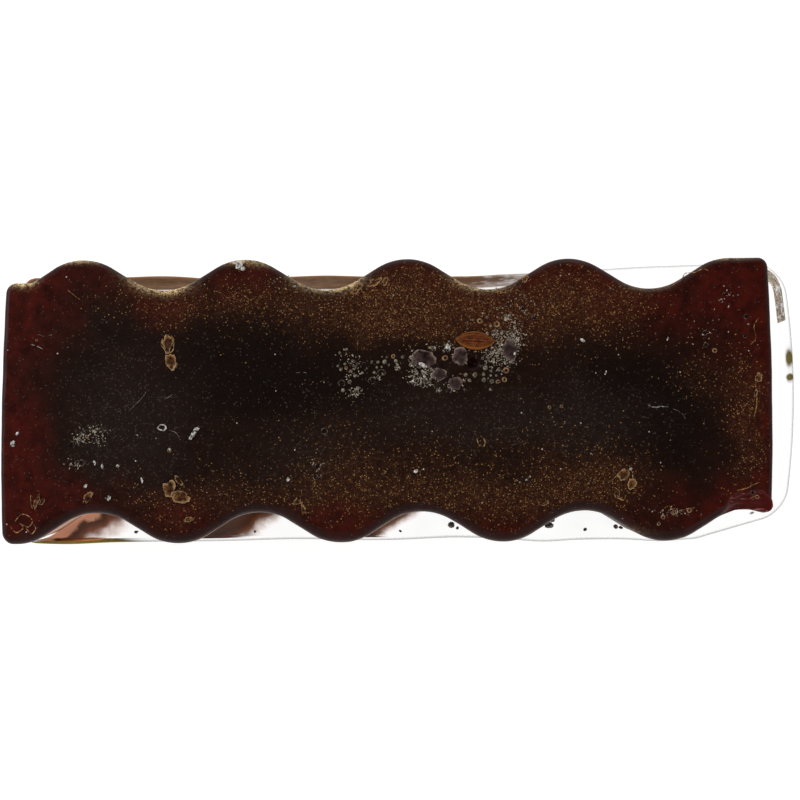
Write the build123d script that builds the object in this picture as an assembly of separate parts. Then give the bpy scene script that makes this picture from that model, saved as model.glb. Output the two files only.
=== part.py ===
# A wavy-sided cake of bow rosin standing in a thin clear liner tray.
# Millimetres. +Z is up, +X runs along the cake, and the origin is on the underside of the tray,
# at the middle of its floor. The cake lifts straight up out of the tray.
from build123d import *
from math import cos, radians, sqrt, tan
import os

# ---- the cake ----
cake_length = 70.4      # end to end, at the middle of its two bowed ends
cake_width = 23.2       # between the mean lines of the two wavy sides
cake_height = 18.0
wave_pitch = 14.8
wave_depth = 2.8        # crest to trough
flank_angle = 32.0      # slope of the straight flank between two bends, degrees
front_lag = 1.25        # how far the front side's wave trails the back side's
first_crest = 7.4       # left end to the first crest of the back side
shoulder_level = -0.7   # the back side runs level to the left end, this far from its mean line
end_bow = 0.3           # how far each end bulges at its middle
left_end_lean = 0.45    # the left end's front corner is this much further out than its back one
corner_radius = 1.5     # of the four corners, at the rubbing face
draft_angle = 3.0       # the mould's draft: the cake narrows towards its base
rub_edge_radius = 0.9   # worn edge round the top, rubbing face
base_edge_radius = 0.4

# ---- the scar of a knocked-off corner chip ----
chip_radius = 4.0       # of the hollow, shell-shaped break
chip_rise = 2.4         # the hollow's centre stands this far above the rubbing face
chip_from_end = 1.9     # middle of the scar, from the right-hand end
chip_reach = 5.1        # how far the scar reaches in from the front crests

# ---- the liner tray ----
tray_wall = 0.3
tray_height = 5.0
side_clearance = 0.12   # between the cake's crests and the tray, on each side
left_gap = 0.2          # between the cake's left end and the tray
right_gap = 4.5         # finger gap between the cake's right end and the tray
tray_corner_radius = 2.8  # the right-hand corners; the left-hand ones follow the cake's
end_splay = 1.4         # the back wall runs out by this much at the right-hand end
splay_length = 30.0     # over this much of its length
tuck_length = 9.5       # the front right-hand corner is pushed in over this length
tuck_depth = 2.4        # by this much
tray_end_bow = 1.0      # the right-hand end wall bulges by this much

# Places on the rubbing face are shares of its half length and half width, from its middle.

# ---- the husk cast into the rubbing face ----
husk_length = 3.6
husk_width = 1.7
husk_thickness = 0.5
husk_proud = 0.15       # how far it stands out of the face
husk_place = (0.228, 0.466)
husk_turn = -4.0

# ---- burst bubbles near the husk: offset from its middle in millimetres, radius and depth ----
burst_bubbles = [
    (-4.9, -1.5, 1.10, 0.30),
    (-1.4, -1.5, 0.65, 0.25),
    (-0.2, -2.1, 0.55, 0.45),
    (3.1, -1.1, 0.60, 0.25),
    (-1.8, -3.9, 0.55, 0.25),
]

# ---- loose bits lying on the rubbing face: place, length in millimetres and turn ----
clear_crumbs = [
    (-0.507, -0.259, 1.25, 55.0),
    (-0.587, -0.204, 0.80, 20.0),
    (-0.640, -0.620, 0.60, 75.0),
    (-0.725, -0.759, 0.55, 70.0),
    (-0.260, -0.620, 0.50, 40.0),
    (0.073, -0.557, 0.50, 10.0),
    (0.509, 0.463, 0.50, 35.0),
]
amber_flakes = [
    (-0.557, -0.700, 2.40, -35.0),
    (-0.572, 0.380, 2.70, 80.0),
    (-0.783, -0.720, 1.40, 40.0),
    (-0.906, -0.773, 1.50, 75.0),
    (-0.930, -0.940, 1.90, 10.0),
    (-0.518, -0.920, 0.90, 20.0),
    (-0.232, -0.790, 1.40, -60.0),
    (0.239, -0.330, 0.90, 85.0),
    (0.622, -0.690, 2.20, 60.0),
]
flake_thickness = 0.14
flake_squareness = 0.6  # width of a flake as a share of its length
flake_bite = 0.6        # the bite out of its side, as a share of the whole oval
bite_offset = 0.12      # how far the bite is off its middle, each way, as a share of its length
crumb_squareness = 0.6  # width of a crumb as a share of its length
crumb_height = 0.42     # height as a share of its length
crumb_chamfer = 0.5     # of its broken top edges, as a share of its height

# ---- crumbs in the tray, in the hollows of the front side: which hollow, counted from the left,
# offset from its middle, and length ----
tray_crumbs = [
    (0, 1.9, 0.7),
    (1, -1.2, 0.6),
    (2, -2.0, 0.5),
    (2, 3.1, 0.9),
    (3, -1.8, 1.2),
    (3, 1.8, 0.6),
    (3, 3.7, 0.7),
]
crumb_wall_gap = 0.05   # between a tray crumb and the foot of the front wall

# ---- rosin dried on the inside of the tray's back right-hand corner ----
residue_thickness = 0.12
residue_reach_x = 4.6
residue_reach_y = 5.2
residue_low = 1.2       # lowest part of the smear, above the tray's floor
residue_high = 4.4

# ---- sizes that follow ----
half_pitch = wave_pitch / 2
zigzag_reach = half_pitch * tan(radians(flank_angle)) / 2
crest_radius = (zigzag_reach - wave_depth / 2) / (1 / cos(radians(flank_angle)) - 1)
base_inset = cake_height * tan(radians(draft_angle))
crest_reach = cake_width / 2 + wave_depth / 2
floor_half_width = crest_reach - base_inset + side_clearance
cavity_length = cake_length - 2 * base_inset + left_gap + right_gap
cake_shift = (left_gap - right_gap) / 2      # the cake's middle, from the tray's
rub_face = tray_wall + cake_height           # height of the rubbing face
tray_snug_radius = corner_radius - base_inset + side_clearance + tray_wall   # its left-hand corners
tray_floor_radius = base_edge_radius + tray_wall   # outside, where the walls meet the floor
first_hollow = -cake_length / 2 + first_crest + front_lag   # the front side's first hollow
tray_lean = draft_angle                      # its walls lean outward, alongside the cake's


def wavy_side(side, crest_at):
    # A zigzag along X whose corners are rounded into crests and troughs with straight flanks between.
    # side is 1 for the back and -1 for the front; crest_at is where the wave reaches furthest to +Y.
    steps_back = int((crest_at + cake_length) / half_pitch) + 1
    steps_on = int((cake_length - crest_at) / half_pitch) + 1
    points = []
    for step in range(-steps_back, steps_on + 1):
        up = zigzag_reach if step % 2 == 0 else -zigzag_reach
        points.append((crest_at + step * half_pitch, side * cake_width / 2 + up))
    if side > 0:
        points = level_ends(points, crest_at)
    return FilletPolyline(*points, radius=crest_radius)


def level_ends(points, crest_at):
    # The back side leaves its zigzag at both ends: from the first crest it goes down to a level
    # shoulder, and from the last crest it stays at crest height out to the end.
    crests_on = int((cake_length / 2 - crest_at) / wave_pitch)
    last_crest = crest_at + crests_on * wave_pitch
    slope = tan(radians(flank_angle))
    mean = cake_width / 2
    shoulder_x = crest_at - (zigzag_reach - shoulder_level) / slope
    ridge_x = last_crest - (zigzag_reach - wave_depth / 2) / slope
    inner = [point for point in points if crest_at - 0.1 < point[0] < ridge_x]
    return [
        (-cake_length, mean + shoulder_level),
        (shoulder_x, mean + shoulder_level),
        *inner,
        (ridge_x, mean + wave_depth / 2),
        (cake_length, mean + wave_depth / 2),
    ]


def cake_outline():
    back_crest = -cake_length / 2 + first_crest
    back = wavy_side(1, back_crest)
    front = wavy_side(-1, back_crest + front_lag)
    strip = make_face([
        back,
        Line(back @ 1, front @ 1),
        front,
        Line(front @ 0, back @ 0),
    ])
    # The ends are drawn out past the crests, so the bow and the lean are stretched to match.
    end_y = cake_width
    stretch = end_y / crest_reach
    end_x = cake_length / 2 - end_bow * stretch**2
    lean = left_end_lean / 2 * stretch
    blank = make_face([
        Line((lean - end_x, end_y), (end_x, end_y)),
        ThreePointArc((end_x, end_y), (cake_length / 2, 0), (end_x, -end_y)),
        Line((end_x, -end_y), (-end_x - lean, -end_y)),
        ThreePointArc((-end_x - lean, -end_y), (-cake_length / 2, 0), (lean - end_x, end_y)),
    ])
    # Shrinking and growing again by the same amount rounds the four corners and nothing else.
    return offset(offset(strip & blank, amount=-corner_radius), amount=corner_radius)


def plain_cake():
    # The cast block, drawn at its rubbing face and narrowing downward.
    top = Pos(0, 0, rub_face) * cake_outline()
    block = extrude(top, amount=cake_height, dir=(0, 0, -1), taper=draft_angle)
    block = fillet(block.faces().sort_by(Axis.Z)[-1].edges(), radius=rub_edge_radius)
    return fillet(block.faces().sort_by(Axis.Z)[0].edges(), radius=base_edge_radius)


def husk_blank():
    # A seed husk: where two round discs overlap, which gives its two pointed ends.
    half_width = husk_width / 2
    disc_radius = ((husk_length / 2) ** 2 + half_width**2) / (2 * half_width)
    disc = Circle(disc_radius)
    return Pos(0, disc_radius - half_width) * disc & Pos(0, half_width - disc_radius) * disc


def face_point(share_x, share_y):
    return share_x * cake_length / 2, share_y * cake_width / 2


def on_cake(shape, place, turn=0.0, height=0.0):
    return Pos(cake_shift + place[0], place[1], rub_face + height) * Rot(Z=turn) * shape


def husk():
    blank = extrude(husk_blank(), husk_thickness)
    return on_cake(blank, face_point(*husk_place), husk_turn, husk_proud - husk_thickness)


def bubble_tool(offset_x, offset_y, radius, depth):
    # A ball that leaves a dish of that radius and depth in the face.
    husk_x, husk_y = face_point(*husk_place)
    ball = (radius**2 + depth**2) / (2 * depth)
    return on_cake(Sphere(ball), (husk_x + offset_x, husk_y + offset_y), 0.0, ball - depth)


def rosin_cake():
    cake = Pos(cake_shift, 0, 0) * plain_cake()
    scar_y = -crest_reach + chip_reach - sqrt(chip_radius**2 - chip_rise**2)
    cake -= on_cake(Sphere(chip_radius), (cake_length / 2 - chip_from_end, scar_y), 0.0, chip_rise)
    cake -= husk()
    for bubble in burst_bubbles:
        cake -= bubble_tool(*bubble)
    return cake


def tray_outline(inset):
    # The tray's floor, seen from above, drawn at its outer surface and then taken in by inset.
    half_length = cavity_length / 2 + tray_wall
    half_width = floor_half_width + tray_wall
    right = half_length - tray_end_bow
    outline = make_face([
        Line((-half_length, -half_width), (half_length - tuck_length, -half_width)),
        Line((half_length - tuck_length, -half_width), (right, tuck_depth - half_width)),
        ThreePointArc(
            (right, tuck_depth - half_width),
            (half_length, (tuck_depth + end_splay) / 2),
            (right, half_width + end_splay),
        ),
        Line((right, half_width + end_splay), (half_length - splay_length, half_width)),
        Line((half_length - splay_length, half_width), (-half_length, half_width)),
        Line((-half_length, half_width), (-half_length, -half_width)),
    ])
    corners = (Sketch() + outline).vertices().sort_by(Axis.X)
    outline = fillet(corners[2:], radius=tray_corner_radius)
    outline = fillet(outline.vertices().sort_by(Axis.X)[:2], radius=tray_snug_radius)
    return offset(outline, amount=-inset) if inset else outline


def tray_block(inset, floor_height, floor_radius):
    # A solid of the tray's shape, its walls leaning outward, taken in by inset all round.
    block = extrude(
        Pos(0, 0, floor_height) * tray_outline(inset), amount=tray_height - floor_height, taper=-tray_lean
    )
    return fillet(block.faces().sort_by(Axis.Z)[0].edges(), radius=floor_radius)


def liner_tray():
    return tray_block(0.0, 0.0, tray_floor_radius) - tray_block(
        tray_wall, tray_wall, tray_floor_radius - tray_wall
    )


def wall_residue():
    # A skin on the inside of the tray's walls, kept only round the back right-hand corner.
    skin = tray_block(tray_wall, tray_wall, tray_floor_radius - tray_wall) - tray_block(
        tray_wall + residue_thickness, 0.0, tray_floor_radius - tray_wall
    )
    right = cavity_length / 2 + tray_wall
    back = floor_half_width + end_splay
    corner = Pos(right, back, (residue_low + residue_high) / 2) * Box(
        2 * residue_reach_x, 2 * residue_reach_y, residue_high - residue_low
    )
    return skin & corner


def crumb(length):
    # A splinter of rosin: a block with its top edges broken off.
    block = extrude(Rectangle(length, length * crumb_squareness), length * crumb_height)
    top_edges = block.faces().sort_by(Axis.Z)[-1].edges()
    return chamfer(top_edges, length=length * crumb_height * crumb_chamfer)


def flake(length):
    # A curled sliver of dried skin: an oval with a smaller oval bitten out of one side.
    half_length, half_width = length / 2, length / 2 * flake_squareness
    bite = Ellipse(half_length * flake_bite, half_width * flake_bite)
    oval = Ellipse(half_length, half_width) - Pos(length * bite_offset, length * bite_offset) * bite
    return extrude(oval, flake_thickness)


def crumbs_on_cake():
    return Compound([on_cake(crumb(length), face_point(x, y), turn) for x, y, length, turn in clear_crumbs])


def flakes_on_cake():
    return Compound([on_cake(flake(length), face_point(x, y), turn) for x, y, length, turn in amber_flakes])


def crumbs_in_tray():
    foot = -floor_half_width + base_edge_radius
    found = []
    for hollow, offset_x, length in tray_crumbs:
        x = cake_shift + first_hollow + hollow * wave_pitch + offset_x
        y = foot + crumb_wall_gap + length * crumb_squareness / 2
        found.append(Pos(x, y, tray_wall) * crumb(length))
    return Compound(found)


parts = {
    "rosin_cake": rosin_cake(),
    "liner_tray": liner_tray(),
    "seed_husk": husk(),
    "clear_crumbs": crumbs_on_cake(),
    "amber_flakes": flakes_on_cake(),
    "tray_crumbs": crumbs_in_tray(),
    "wall_residue": wall_residue(),
}

os.makedirs("parts", exist_ok=True)
for name, shape in parts.items():
    export_step(shape, f"parts/{name}.step")
    print(name, len(shape.solids()), "solids", round(shape.volume, 3), "mm3")
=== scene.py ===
import math
import bpy
import numpy as np
from mathutils import Matrix, Vector


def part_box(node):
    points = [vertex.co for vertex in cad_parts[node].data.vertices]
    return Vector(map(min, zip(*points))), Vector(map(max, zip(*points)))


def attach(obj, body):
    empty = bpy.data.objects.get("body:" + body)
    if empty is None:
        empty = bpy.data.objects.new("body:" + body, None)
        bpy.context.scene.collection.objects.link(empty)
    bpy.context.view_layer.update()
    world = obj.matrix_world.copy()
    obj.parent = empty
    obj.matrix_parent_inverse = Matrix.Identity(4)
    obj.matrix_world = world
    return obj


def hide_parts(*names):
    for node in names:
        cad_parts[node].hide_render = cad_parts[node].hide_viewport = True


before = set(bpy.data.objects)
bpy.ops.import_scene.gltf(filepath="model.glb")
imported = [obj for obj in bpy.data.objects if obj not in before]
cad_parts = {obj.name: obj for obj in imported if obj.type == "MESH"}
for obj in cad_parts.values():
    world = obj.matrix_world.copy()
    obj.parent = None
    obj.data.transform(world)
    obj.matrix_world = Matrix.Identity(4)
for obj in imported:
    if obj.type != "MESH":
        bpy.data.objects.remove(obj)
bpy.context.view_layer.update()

# Shapes are worked out in millimetres and written to the meshes in metres.
mm = 0.001
cakeLow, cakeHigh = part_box("rosin_cake")
cakeMidX = (cakeLow.x + cakeHigh.x) / 2 / mm
faceZ = cakeHigh.z / mm  # height of the rubbing face
baseZ = cakeLow.z / mm


def makePiece(name, points, faces, body, material, smooth=True, marks=None):
    # points in millimetres; marks are one number per point, for the material to read
    mesh = bpy.data.meshes.new(name)
    mesh.from_pydata((np.asarray(points, float) * mm).tolist(), [], [list(f) for f in faces])
    mesh.polygons.foreach_set("use_smooth", [smooth] * len(mesh.polygons))
    for markName, values in (marks or {}).items():
        attribute = mesh.attributes.new(markName, "FLOAT", "POINT")
        attribute.data.foreach_set("value", np.asarray(values, np.float32))
    mesh.materials.append(material)
    piece = bpy.data.objects.new(name, mesh)
    bpy.context.scene.collection.objects.link(piece)
    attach(piece, body)
    return piece


def gridQuads(rows, cols, closeRows=False, closeCols=False):
    # quads of a rows by cols grid of points, joined up where it is closed
    r = np.arange(rows if closeRows else rows - 1)[:, None]
    c = np.arange(cols if closeCols else cols - 1)[None, :]
    r2, c2 = (r + 1) % rows, (c + 1) % cols
    quads = np.stack([r * cols + c, r * cols + c2, r2 * cols + c2, r2 * cols + c], -1)
    return quads.reshape(-1, 4)


def scatter(template, quads, places, sizes, turns):
    # copies of a small shape: each is stretched by its own size, turned about Z and moved to its place
    c, s = np.cos(turns)[:, None], np.sin(turns)[:, None]
    body = template[None] * sizes[:, None, :] if template.ndim == 2 else template * sizes[:, None, :]
    x = body[..., 0] * c - body[..., 1] * s
    y = body[..., 0] * s + body[..., 1] * c
    points = np.stack([x, y, body[..., 2]], -1) + places[:, None, :]
    count = body.shape[1]
    faces = (quads[None] + (np.arange(len(places)) * count)[:, None, None]).reshape(-1, quads.shape[-1])
    return points.reshape(-1, 3), faces


def smoothNoise(x, y, cell, seed):
    # random heights on a square lattice, blended between neighbours with a smooth step, from -1 to 1
    lattice = np.random.default_rng(seed).uniform(-1, 1, (64, 64))
    u, v = np.asarray(x) / cell + 200.0, np.asarray(y) / cell + 200.0
    i, j = np.floor(u).astype(int), np.floor(v).astype(int)
    fu, fv = u - i, v - j
    fu, fv = fu * fu * (3 - 2 * fu), fv * fv * (3 - 2 * fv)
    a, b = lattice[i % 64, j % 64], lattice[(i + 1) % 64, j % 64]
    c, d = lattice[i % 64, (j + 1) % 64], lattice[(i + 1) % 64, (j + 1) % 64]
    return (a * (1 - fu) + b * fu) * (1 - fv) + (c * (1 - fu) + d * fu) * fv


def put(tree, kind, values=(), **settings):
    # a new shader node; a value that is a socket is linked, any other is set
    node = tree.nodes.new("ShaderNode" + kind)
    for name, value in settings.items():
        setattr(node, name, value)
    for key, value in dict(values).items():
        if isinstance(value, bpy.types.NodeSocket):
            tree.links.new(value, node.inputs[key])
        else:
            node.inputs[key].default_value = value
    return node


def maths(tree, operation, a, b=0.0, clamp=False):
    return put(tree, "Math", {0: a, 1: b}, operation=operation, use_clamp=clamp).outputs[0]


def times(tree, a, b, clamp=False):
    return maths(tree, "MULTIPLY", a, b, clamp)


def blendColour(tree, share, a, b):
    return put(tree, "Mix", {0: share, 6: a, 7: b}, data_type="RGBA").outputs[2]


def ramp(tree, value, low, high, toLow=0.0, toHigh=1.0):
    values = {0: value, 1: low, 2: high, 3: toLow, 4: toHigh}
    return put(tree, "MapRange", values, interpolation_type="SMOOTHSTEP").outputs[0]


def mark(tree, name):
    return put(tree, "Attribute", attribute_name=name).outputs["Fac"]


def objectPlace(tree):
    return put(tree, "TexCoord").outputs["Object"]


def cloud(tree, place, cell, detail=2.0, roughness=0.5):
    # soft noise whose blotches are about cell millimetres across
    values = {"Vector": place, "Scale": 1 / (cell * mm), "Detail": detail, "Roughness": roughness}
    return put(tree, "TexNoise", values).outputs["Fac"]


def dots(tree, place, cell, radius, density):
    # specks: one per cell, kept where the cell's own random number is under density
    cells = put(tree, "TexVoronoi", {"Vector": place, "Scale": 1 / (cell * mm)})
    near = ramp(tree, cells.outputs["Distance"], radius * 0.6, radius, 1.0, 0.0)
    luck = put(tree, "SeparateColor", {0: cells.outputs["Color"]})
    kept = maths(tree, "LESS_THAN", luck.outputs[0], density)
    return times(tree, near, kept), luck.outputs[1]


def newMaterial(name):
    material = bpy.data.materials.new(name)
    material.use_nodes = True
    tree = material.node_tree
    return material, tree, tree.nodes["Principled BSDF"]


def link(tree, source, node, key):
    tree.links.new(source, node.inputs[key])


daylight = 0.62  # how much light falls on the rubbing face; colours are given as they look under it


def rgb(red, green, blue):
    # a colour as it looks, from 0 to 255 on a screen, turned into linear light and then into a body colour
    values = np.array([red, green, blue]) / 255
    linear = np.where(values <= 0.04045, values / 12.92, ((values + 0.055) / 1.055) ** 2.4) / daylight
    return (*np.minimum(linear, 0.95).tolist(), 1.0)


view = dict(
    aimX=cakeMidX + 1.1, aimY=0.0,  # what the middle of the picture looks at, on the rubbing face
    footX=cakeMidX - 2.1, footY=-13.6,  # the camera stands above this point
    distance=235.0,  # above the rubbing face
    lens=116.2, roll=0.27,
)


def makeCamera():
    # stands above its foot point and looks down at its aim; it is level with +X, then rolled a little
    place = Vector((view["footX"], view["footY"], faceZ + view["distance"])) * mm
    aim = Vector((view["aimX"], view["aimY"], faceZ)) * mm
    back = (place - aim).normalized()
    right = (Vector((1, 0, 0)) - back * back.x).normalized()
    up = back.cross(right)
    c, s = math.cos(math.radians(view["roll"])), math.sin(math.radians(view["roll"]))
    right, up = right * c - up * s, up * c + right * s
    camera = bpy.data.objects.new("camera", bpy.data.cameras.new("camera"))
    camera.matrix_world = Matrix.Translation(place) @ Matrix((right, up, back)).transposed().to_4x4()
    camera.data.lens = view["lens"]
    camera.data.clip_start = 0.01
    bpy.context.scene.collection.objects.link(camera)
    bpy.context.scene.camera = camera


light = dict(
    keyPower=0.60, keyPlace=(-250.0, 90.0, 230.0), keySize=(160.0, 220.0),
    fillPower=0.24, fillPlace=(240.0, -130.0, 220.0), fillSize=(160.0, 200.0),
    backPower=0.26, backPlace=(20.0, 300.0, 120.0), backSize=(260.0, 80.0),
    skyLow=0.40, skyHigh=0.012,  # brightness of the surroundings near the horizon and overhead
    floorGlow=0.93,
)


def makeLamp(name, power, place, size):
    lamp = bpy.data.lights.new(name, "AREA")
    lamp.shape = "RECTANGLE"
    lamp.size, lamp.size_y = size[0] * mm, size[1] * mm
    lamp.energy = power
    lampObject = bpy.data.objects.new(name, lamp)
    where = Vector(place) * mm
    lampObject.matrix_world = Matrix.Translation(where) @ where.to_track_quat("Z", "Y").to_matrix().to_4x4()
    bpy.context.scene.collection.objects.link(lampObject)


def makeStage():
    world = bpy.data.worlds.new("studio")
    world.use_nodes = True
    tree = world.node_tree
    sky = tree.nodes["Background"]
    sky.inputs["Color"].default_value = (1.0, 0.99, 0.98, 1.0)
    # white where it is looked at; towards the object it is bright low down and dark overhead
    height = put(tree, "SeparateXYZ", {0: put(tree, "TexCoord").outputs["Generated"]}).outputs[2]
    glow = ramp(tree, height, 0.40, 0.84, light["skyLow"], light["skyHigh"])
    seen = put(tree, "LightPath").outputs["Is Camera Ray"]
    strength = put(tree, "Mix", {0: seen, 2: glow, 3: 1.0}, data_type="FLOAT").outputs[0]
    link(tree, strength, sky, "Strength")
    bpy.context.scene.world = world

    makeLamp("keyLamp", light["keyPower"], light["keyPlace"], light["keySize"])
    makeLamp("fillLamp", light["fillPower"], light["fillPlace"], light["fillSize"])
    makeLamp("backLamp", light["backPower"], light["backPlace"], light["backSize"])

    material, tree, surface = newMaterial("paleFloor")
    tone = ramp(tree, cloud(tree, objectPlace(tree), 400.0), 0.3, 0.7)
    link(tree, blendColour(tree, tone, (0.30, 0.30, 0.30, 1), (0.33, 0.33, 0.325, 1)), surface, "Base Color")
    surface.inputs["Roughness"].default_value = 0.9
    surface.inputs["Specular IOR Level"].default_value = 0.1
    surface.inputs["Emission Color"].default_value = (1, 1, 1, 1)
    surface.inputs["Emission Strength"].default_value = light["floorGlow"]
    half, drop = 2000.0, 0.05
    mesh = bpy.data.meshes.new("floor")
    corners = [(-half, -half, -drop), (half, -half, -drop), (half, half, -drop), (-half, half, -drop)]
    mesh.from_pydata((np.array(corners) * mm).tolist(), [], [(0, 1, 2, 3)])
    mesh.materials.append(material)
    floor = bpy.data.objects.new("floor", mesh)
    bpy.context.scene.collection.objects.link(floor)
    bpy.context.scene.view_settings.view_transform = "Standard"


cake = dict(
    length=70.4, width=23.2, height=faceZ - baseZ,
    pitch=14.8, depth=2.8, flankAngle=32.0, firstCrest=7.4, frontLag=1.25, shoulder=-0.7,
    endBow=0.3, leftLean=0.45, cornerRadius=0.95, draft=3.0,
    frontBevel=1.05, backBevel=0.62, endBevel=0.45, baseBevel=0.4,
    step=0.165,  # spacing of the points on the rubbing face
)

# where the face is broken: place, radius of the break and height of its middle above the face
chips = [
    (33.3, -11.4, 4.0, 2.4),
    (-33.5, 11.3, 0.8, 0.5),
    (-20.0, 10.7, 0.8, 0.5),
    (15.3, -10.0, 0.5, 0.3),
]
# burst bubbles: place, radius and depth
dishes = [
    (3.3, 3.75, 1.15, 0.16), (3.0, 2.3, 0.95, 0.12), (4.9, 2.35, 0.70, 0.16), (6.7, 4.0, 0.72, 0.14),
    (7.75, 3.35, 0.62, 0.60), (11.1, 4.55, 0.80, 0.18), (6.15, 1.5, 0.62, 0.16),
]


def waveHeight(along):
    # round crest and round trough of one radius, joined by a straight flank; along is from a crest
    half = cake["pitch"] / 2
    lean = math.radians(cake["flankAngle"])
    radius = (half * math.tan(lean) / 2 - cake["depth"] / 2) / (1 / math.cos(lean) - 1)
    bend = radius * math.sin(lean)
    d = np.abs((along + half) % cake["pitch"] - half)
    crest = cake["depth"] / 2 - radius + np.sqrt(radius**2 - np.minimum(d, bend) ** 2)
    trough = radius - cake["depth"] / 2 - np.sqrt(radius**2 - np.minimum(half - d, bend) ** 2)
    flank = (half / 2 - d) * math.tan(lean)
    return np.where(d < bend, crest, np.where(d > half - bend, trough, flank))


def backEdge(x):
    # the wave, but level from the last crest to the right-hand end, and on a shoulder at the left-hand end
    crest = cake["firstCrest"] - cake["length"] / 2
    wave = waveHeight(x - crest)
    wave = np.where(x > crest + 4 * cake["pitch"], cake["depth"] / 2, wave)
    return cake["width"] / 2 + np.where(x < crest, np.maximum(wave, cake["shoulder"]), wave)


def frontEdge(x):
    return -cake["width"] / 2 + waveHeight(x + cake["length"] / 2 - cake["firstCrest"] - cake["frontLag"])


def cakeOutline():
    # the four sides as rows of points; each long side takes in the quarter rounds at its two ends
    half, r = cake["length"] / 2, cake["cornerRadius"]
    turn = np.linspace(0, math.pi / 2, 11)[:-1]
    start = r * (1 - np.cos(turn))
    middle = np.linspace(r, 2 * half - r, int((2 * half - 2 * r) / cake["step"]))
    x = np.concatenate([start, middle, 2 * half - start[::-1]]) - half
    fromEnd = np.minimum(x + half, half - x)
    cornerCut = r - np.sqrt(np.maximum(r**2 - np.maximum(r - fromEnd, 0) ** 2, 0))
    front, back = frontEdge(x) + cornerCut, backEdge(x) - cornerCut
    rows = int(cake["width"] / cake["step"])
    t = np.linspace(0, 1, rows)
    left = np.stack([np.full(rows, -half), front[0] + t * (back[0] - front[0])], -1)
    right = np.stack([np.full(rows, half), front[-1] + t * (back[-1] - front[-1])], -1)
    return np.stack([x, front], -1), right, np.stack([x, back], -1), left


def bowEnds(points):
    # the ends bulge by the square of the distance from the middle line, and the left-hand one leans
    x, y = points.T
    across = y / (cake["width"] / 2 + cake["depth"] / 2)
    bow, lean = cake["endBow"] * across**2, cake["leftLean"] / 2 * across
    near = 5.0
    left = np.clip(1 - (x + cake["length"] / 2) / near, 0, 1)
    right = np.clip(1 - (cake["length"] / 2 - x) / near, 0, 1)
    return np.stack([x + left * (bow + lean) - right * bow, y], -1)


def breakAway(points):
    # pushes what lies inside a break's ball out to the ball, and dishes the burst bubbles
    for x, y, radius, rise in chips:
        centre = np.array([x, y, rise])
        away = points - centre
        far = np.linalg.norm(away, axis=1)
        rough = radius * (1 + 0.035 * smoothNoise(points[:, 0], points[:, 1] + points[:, 2], 0.5, 5))
        inside = far < rough
        points[inside] = centre + away[inside] * (rough[inside] / np.maximum(far[inside], 1e-6))[:, None]
    for x, y, radius, depth in dishes:
        d = np.hypot(points[:, 0] - x, points[:, 1] - y)
        d = d * (1 + 0.12 * smoothNoise(points[:, 0], points[:, 1], 0.5, 9))
        points[:, 2] -= depth * np.clip(1 - (d / radius) ** 2, 0, 1) * (points[:, 2] > -0.6)
    return points


def faceRelief(x, y):
    # uneven casting: two sizes of smooth hill and hollow
    return 0.030 * smoothNoise(x, y, 3.2, 1) + 0.012 * smoothNoise(x, y, 0.8, 2) - 0.035


def huskPocket(x, y):
    # a lens-shaped hollow under the husk
    dx, dy = (x - husk["x"]) / (husk["length"] / 2), (y - husk["y"]) / (husk["width"] / 2)
    return -0.22 * np.clip(1.15 - np.abs(dy) - dx**2, 0, 1) ** 0.5


# soft patches of the face: middle, reach along X and Y, strength
# the red patches are a painted glow where light comes through the rosin
redGlowPatches = [
    (-35.0, -3.0, 3.6, 15.0, 0.85), (-32.5, 8.5, 3.6, 3.5, 0.40), (-28.3, 7.4, 1.8, 2.6, 0.45),
    (-33.4, -10.0, 5.0, 4.4, 0.60), (-28.0, 11.0, 5.0, 2.0, 0.45), (33.4, 9.0, 6.6, 6.4, 1.05),
    (34.6, -6.0, 3.4, 9.0, 0.65), (31.5, -10.2, 4.0, 2.0, 0.55), (-14.0, 10.6, 4.6, 3.0, 0.70),
    (1.8, 10.6, 5.4, 3.0, 0.62), (16.4, 10.4, 5.4, 4.0, 0.80), (-21.0, 8.8, 3.0, 2.0, 0.45),
    (9.0, 8.2, 3.0, 2.4, 0.50), (24.5, 8.6, 4.0, 2.6, 0.60), (-19.5, -11.0, 5.4, 2.6, 0.60),
    (-4.4, -11.0, 5.4, 2.6, 0.60), (10.4, -10.8, 5.4, 2.6, 0.60), (25.4, -10.4, 5.4, 3.0, 0.55),
    (-29.0, -8.0, 5.0, 2.0, 0.4),
]
goldPatches = [
    (-8.0, 8.4, 3.4, 2.4, 0.62), (-2.0, 9.0, 4.0, 2.8, 0.75), (3.5, 9.4, 4.6, 3.2, 0.85),
    (9.5, 8.4, 3.4, 2.2, 0.7), (2.0, 6.4, 6.0, 1.6, 0.55), (16.6, 9.2, 4.4, 3.6, 0.9),
    (22.5, 8.0, 2.6, 2.2, 0.55), (13.5, 6.5, 3.0, 2.0, 0.45), (-14.0, 8.8, 4.0, 2.4, 0.55),
    (-19.5, 8.6, 2.6, 1.6, 0.5), (-24.0, 9.0, 3.0, 2.0, 0.25), (2.0, -8.4, 6.5, 2.4, 0.66),
    (12.0, -8.8, 7.0, 2.4, 0.70), (19.5, -7.4, 4.5, 2.8, 0.72), (-5.0, -7.5, 4.0, 3.0, 0.45),
    (-13.0, -8.8, 6.0, 2.4, 0.45), (-20.0, -9.6, 4.0, 2.6, 0.4), (32.8, -2.0, 1.9, 6.5, 0.75),
    (28.5, 1.8, 2.4, 3.0, 0.35), (8.0, -4.2, 12.0, 2.6, 0.22), (-5.0, -2.0, 3.0, 4.0, 0.15),
]
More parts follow.
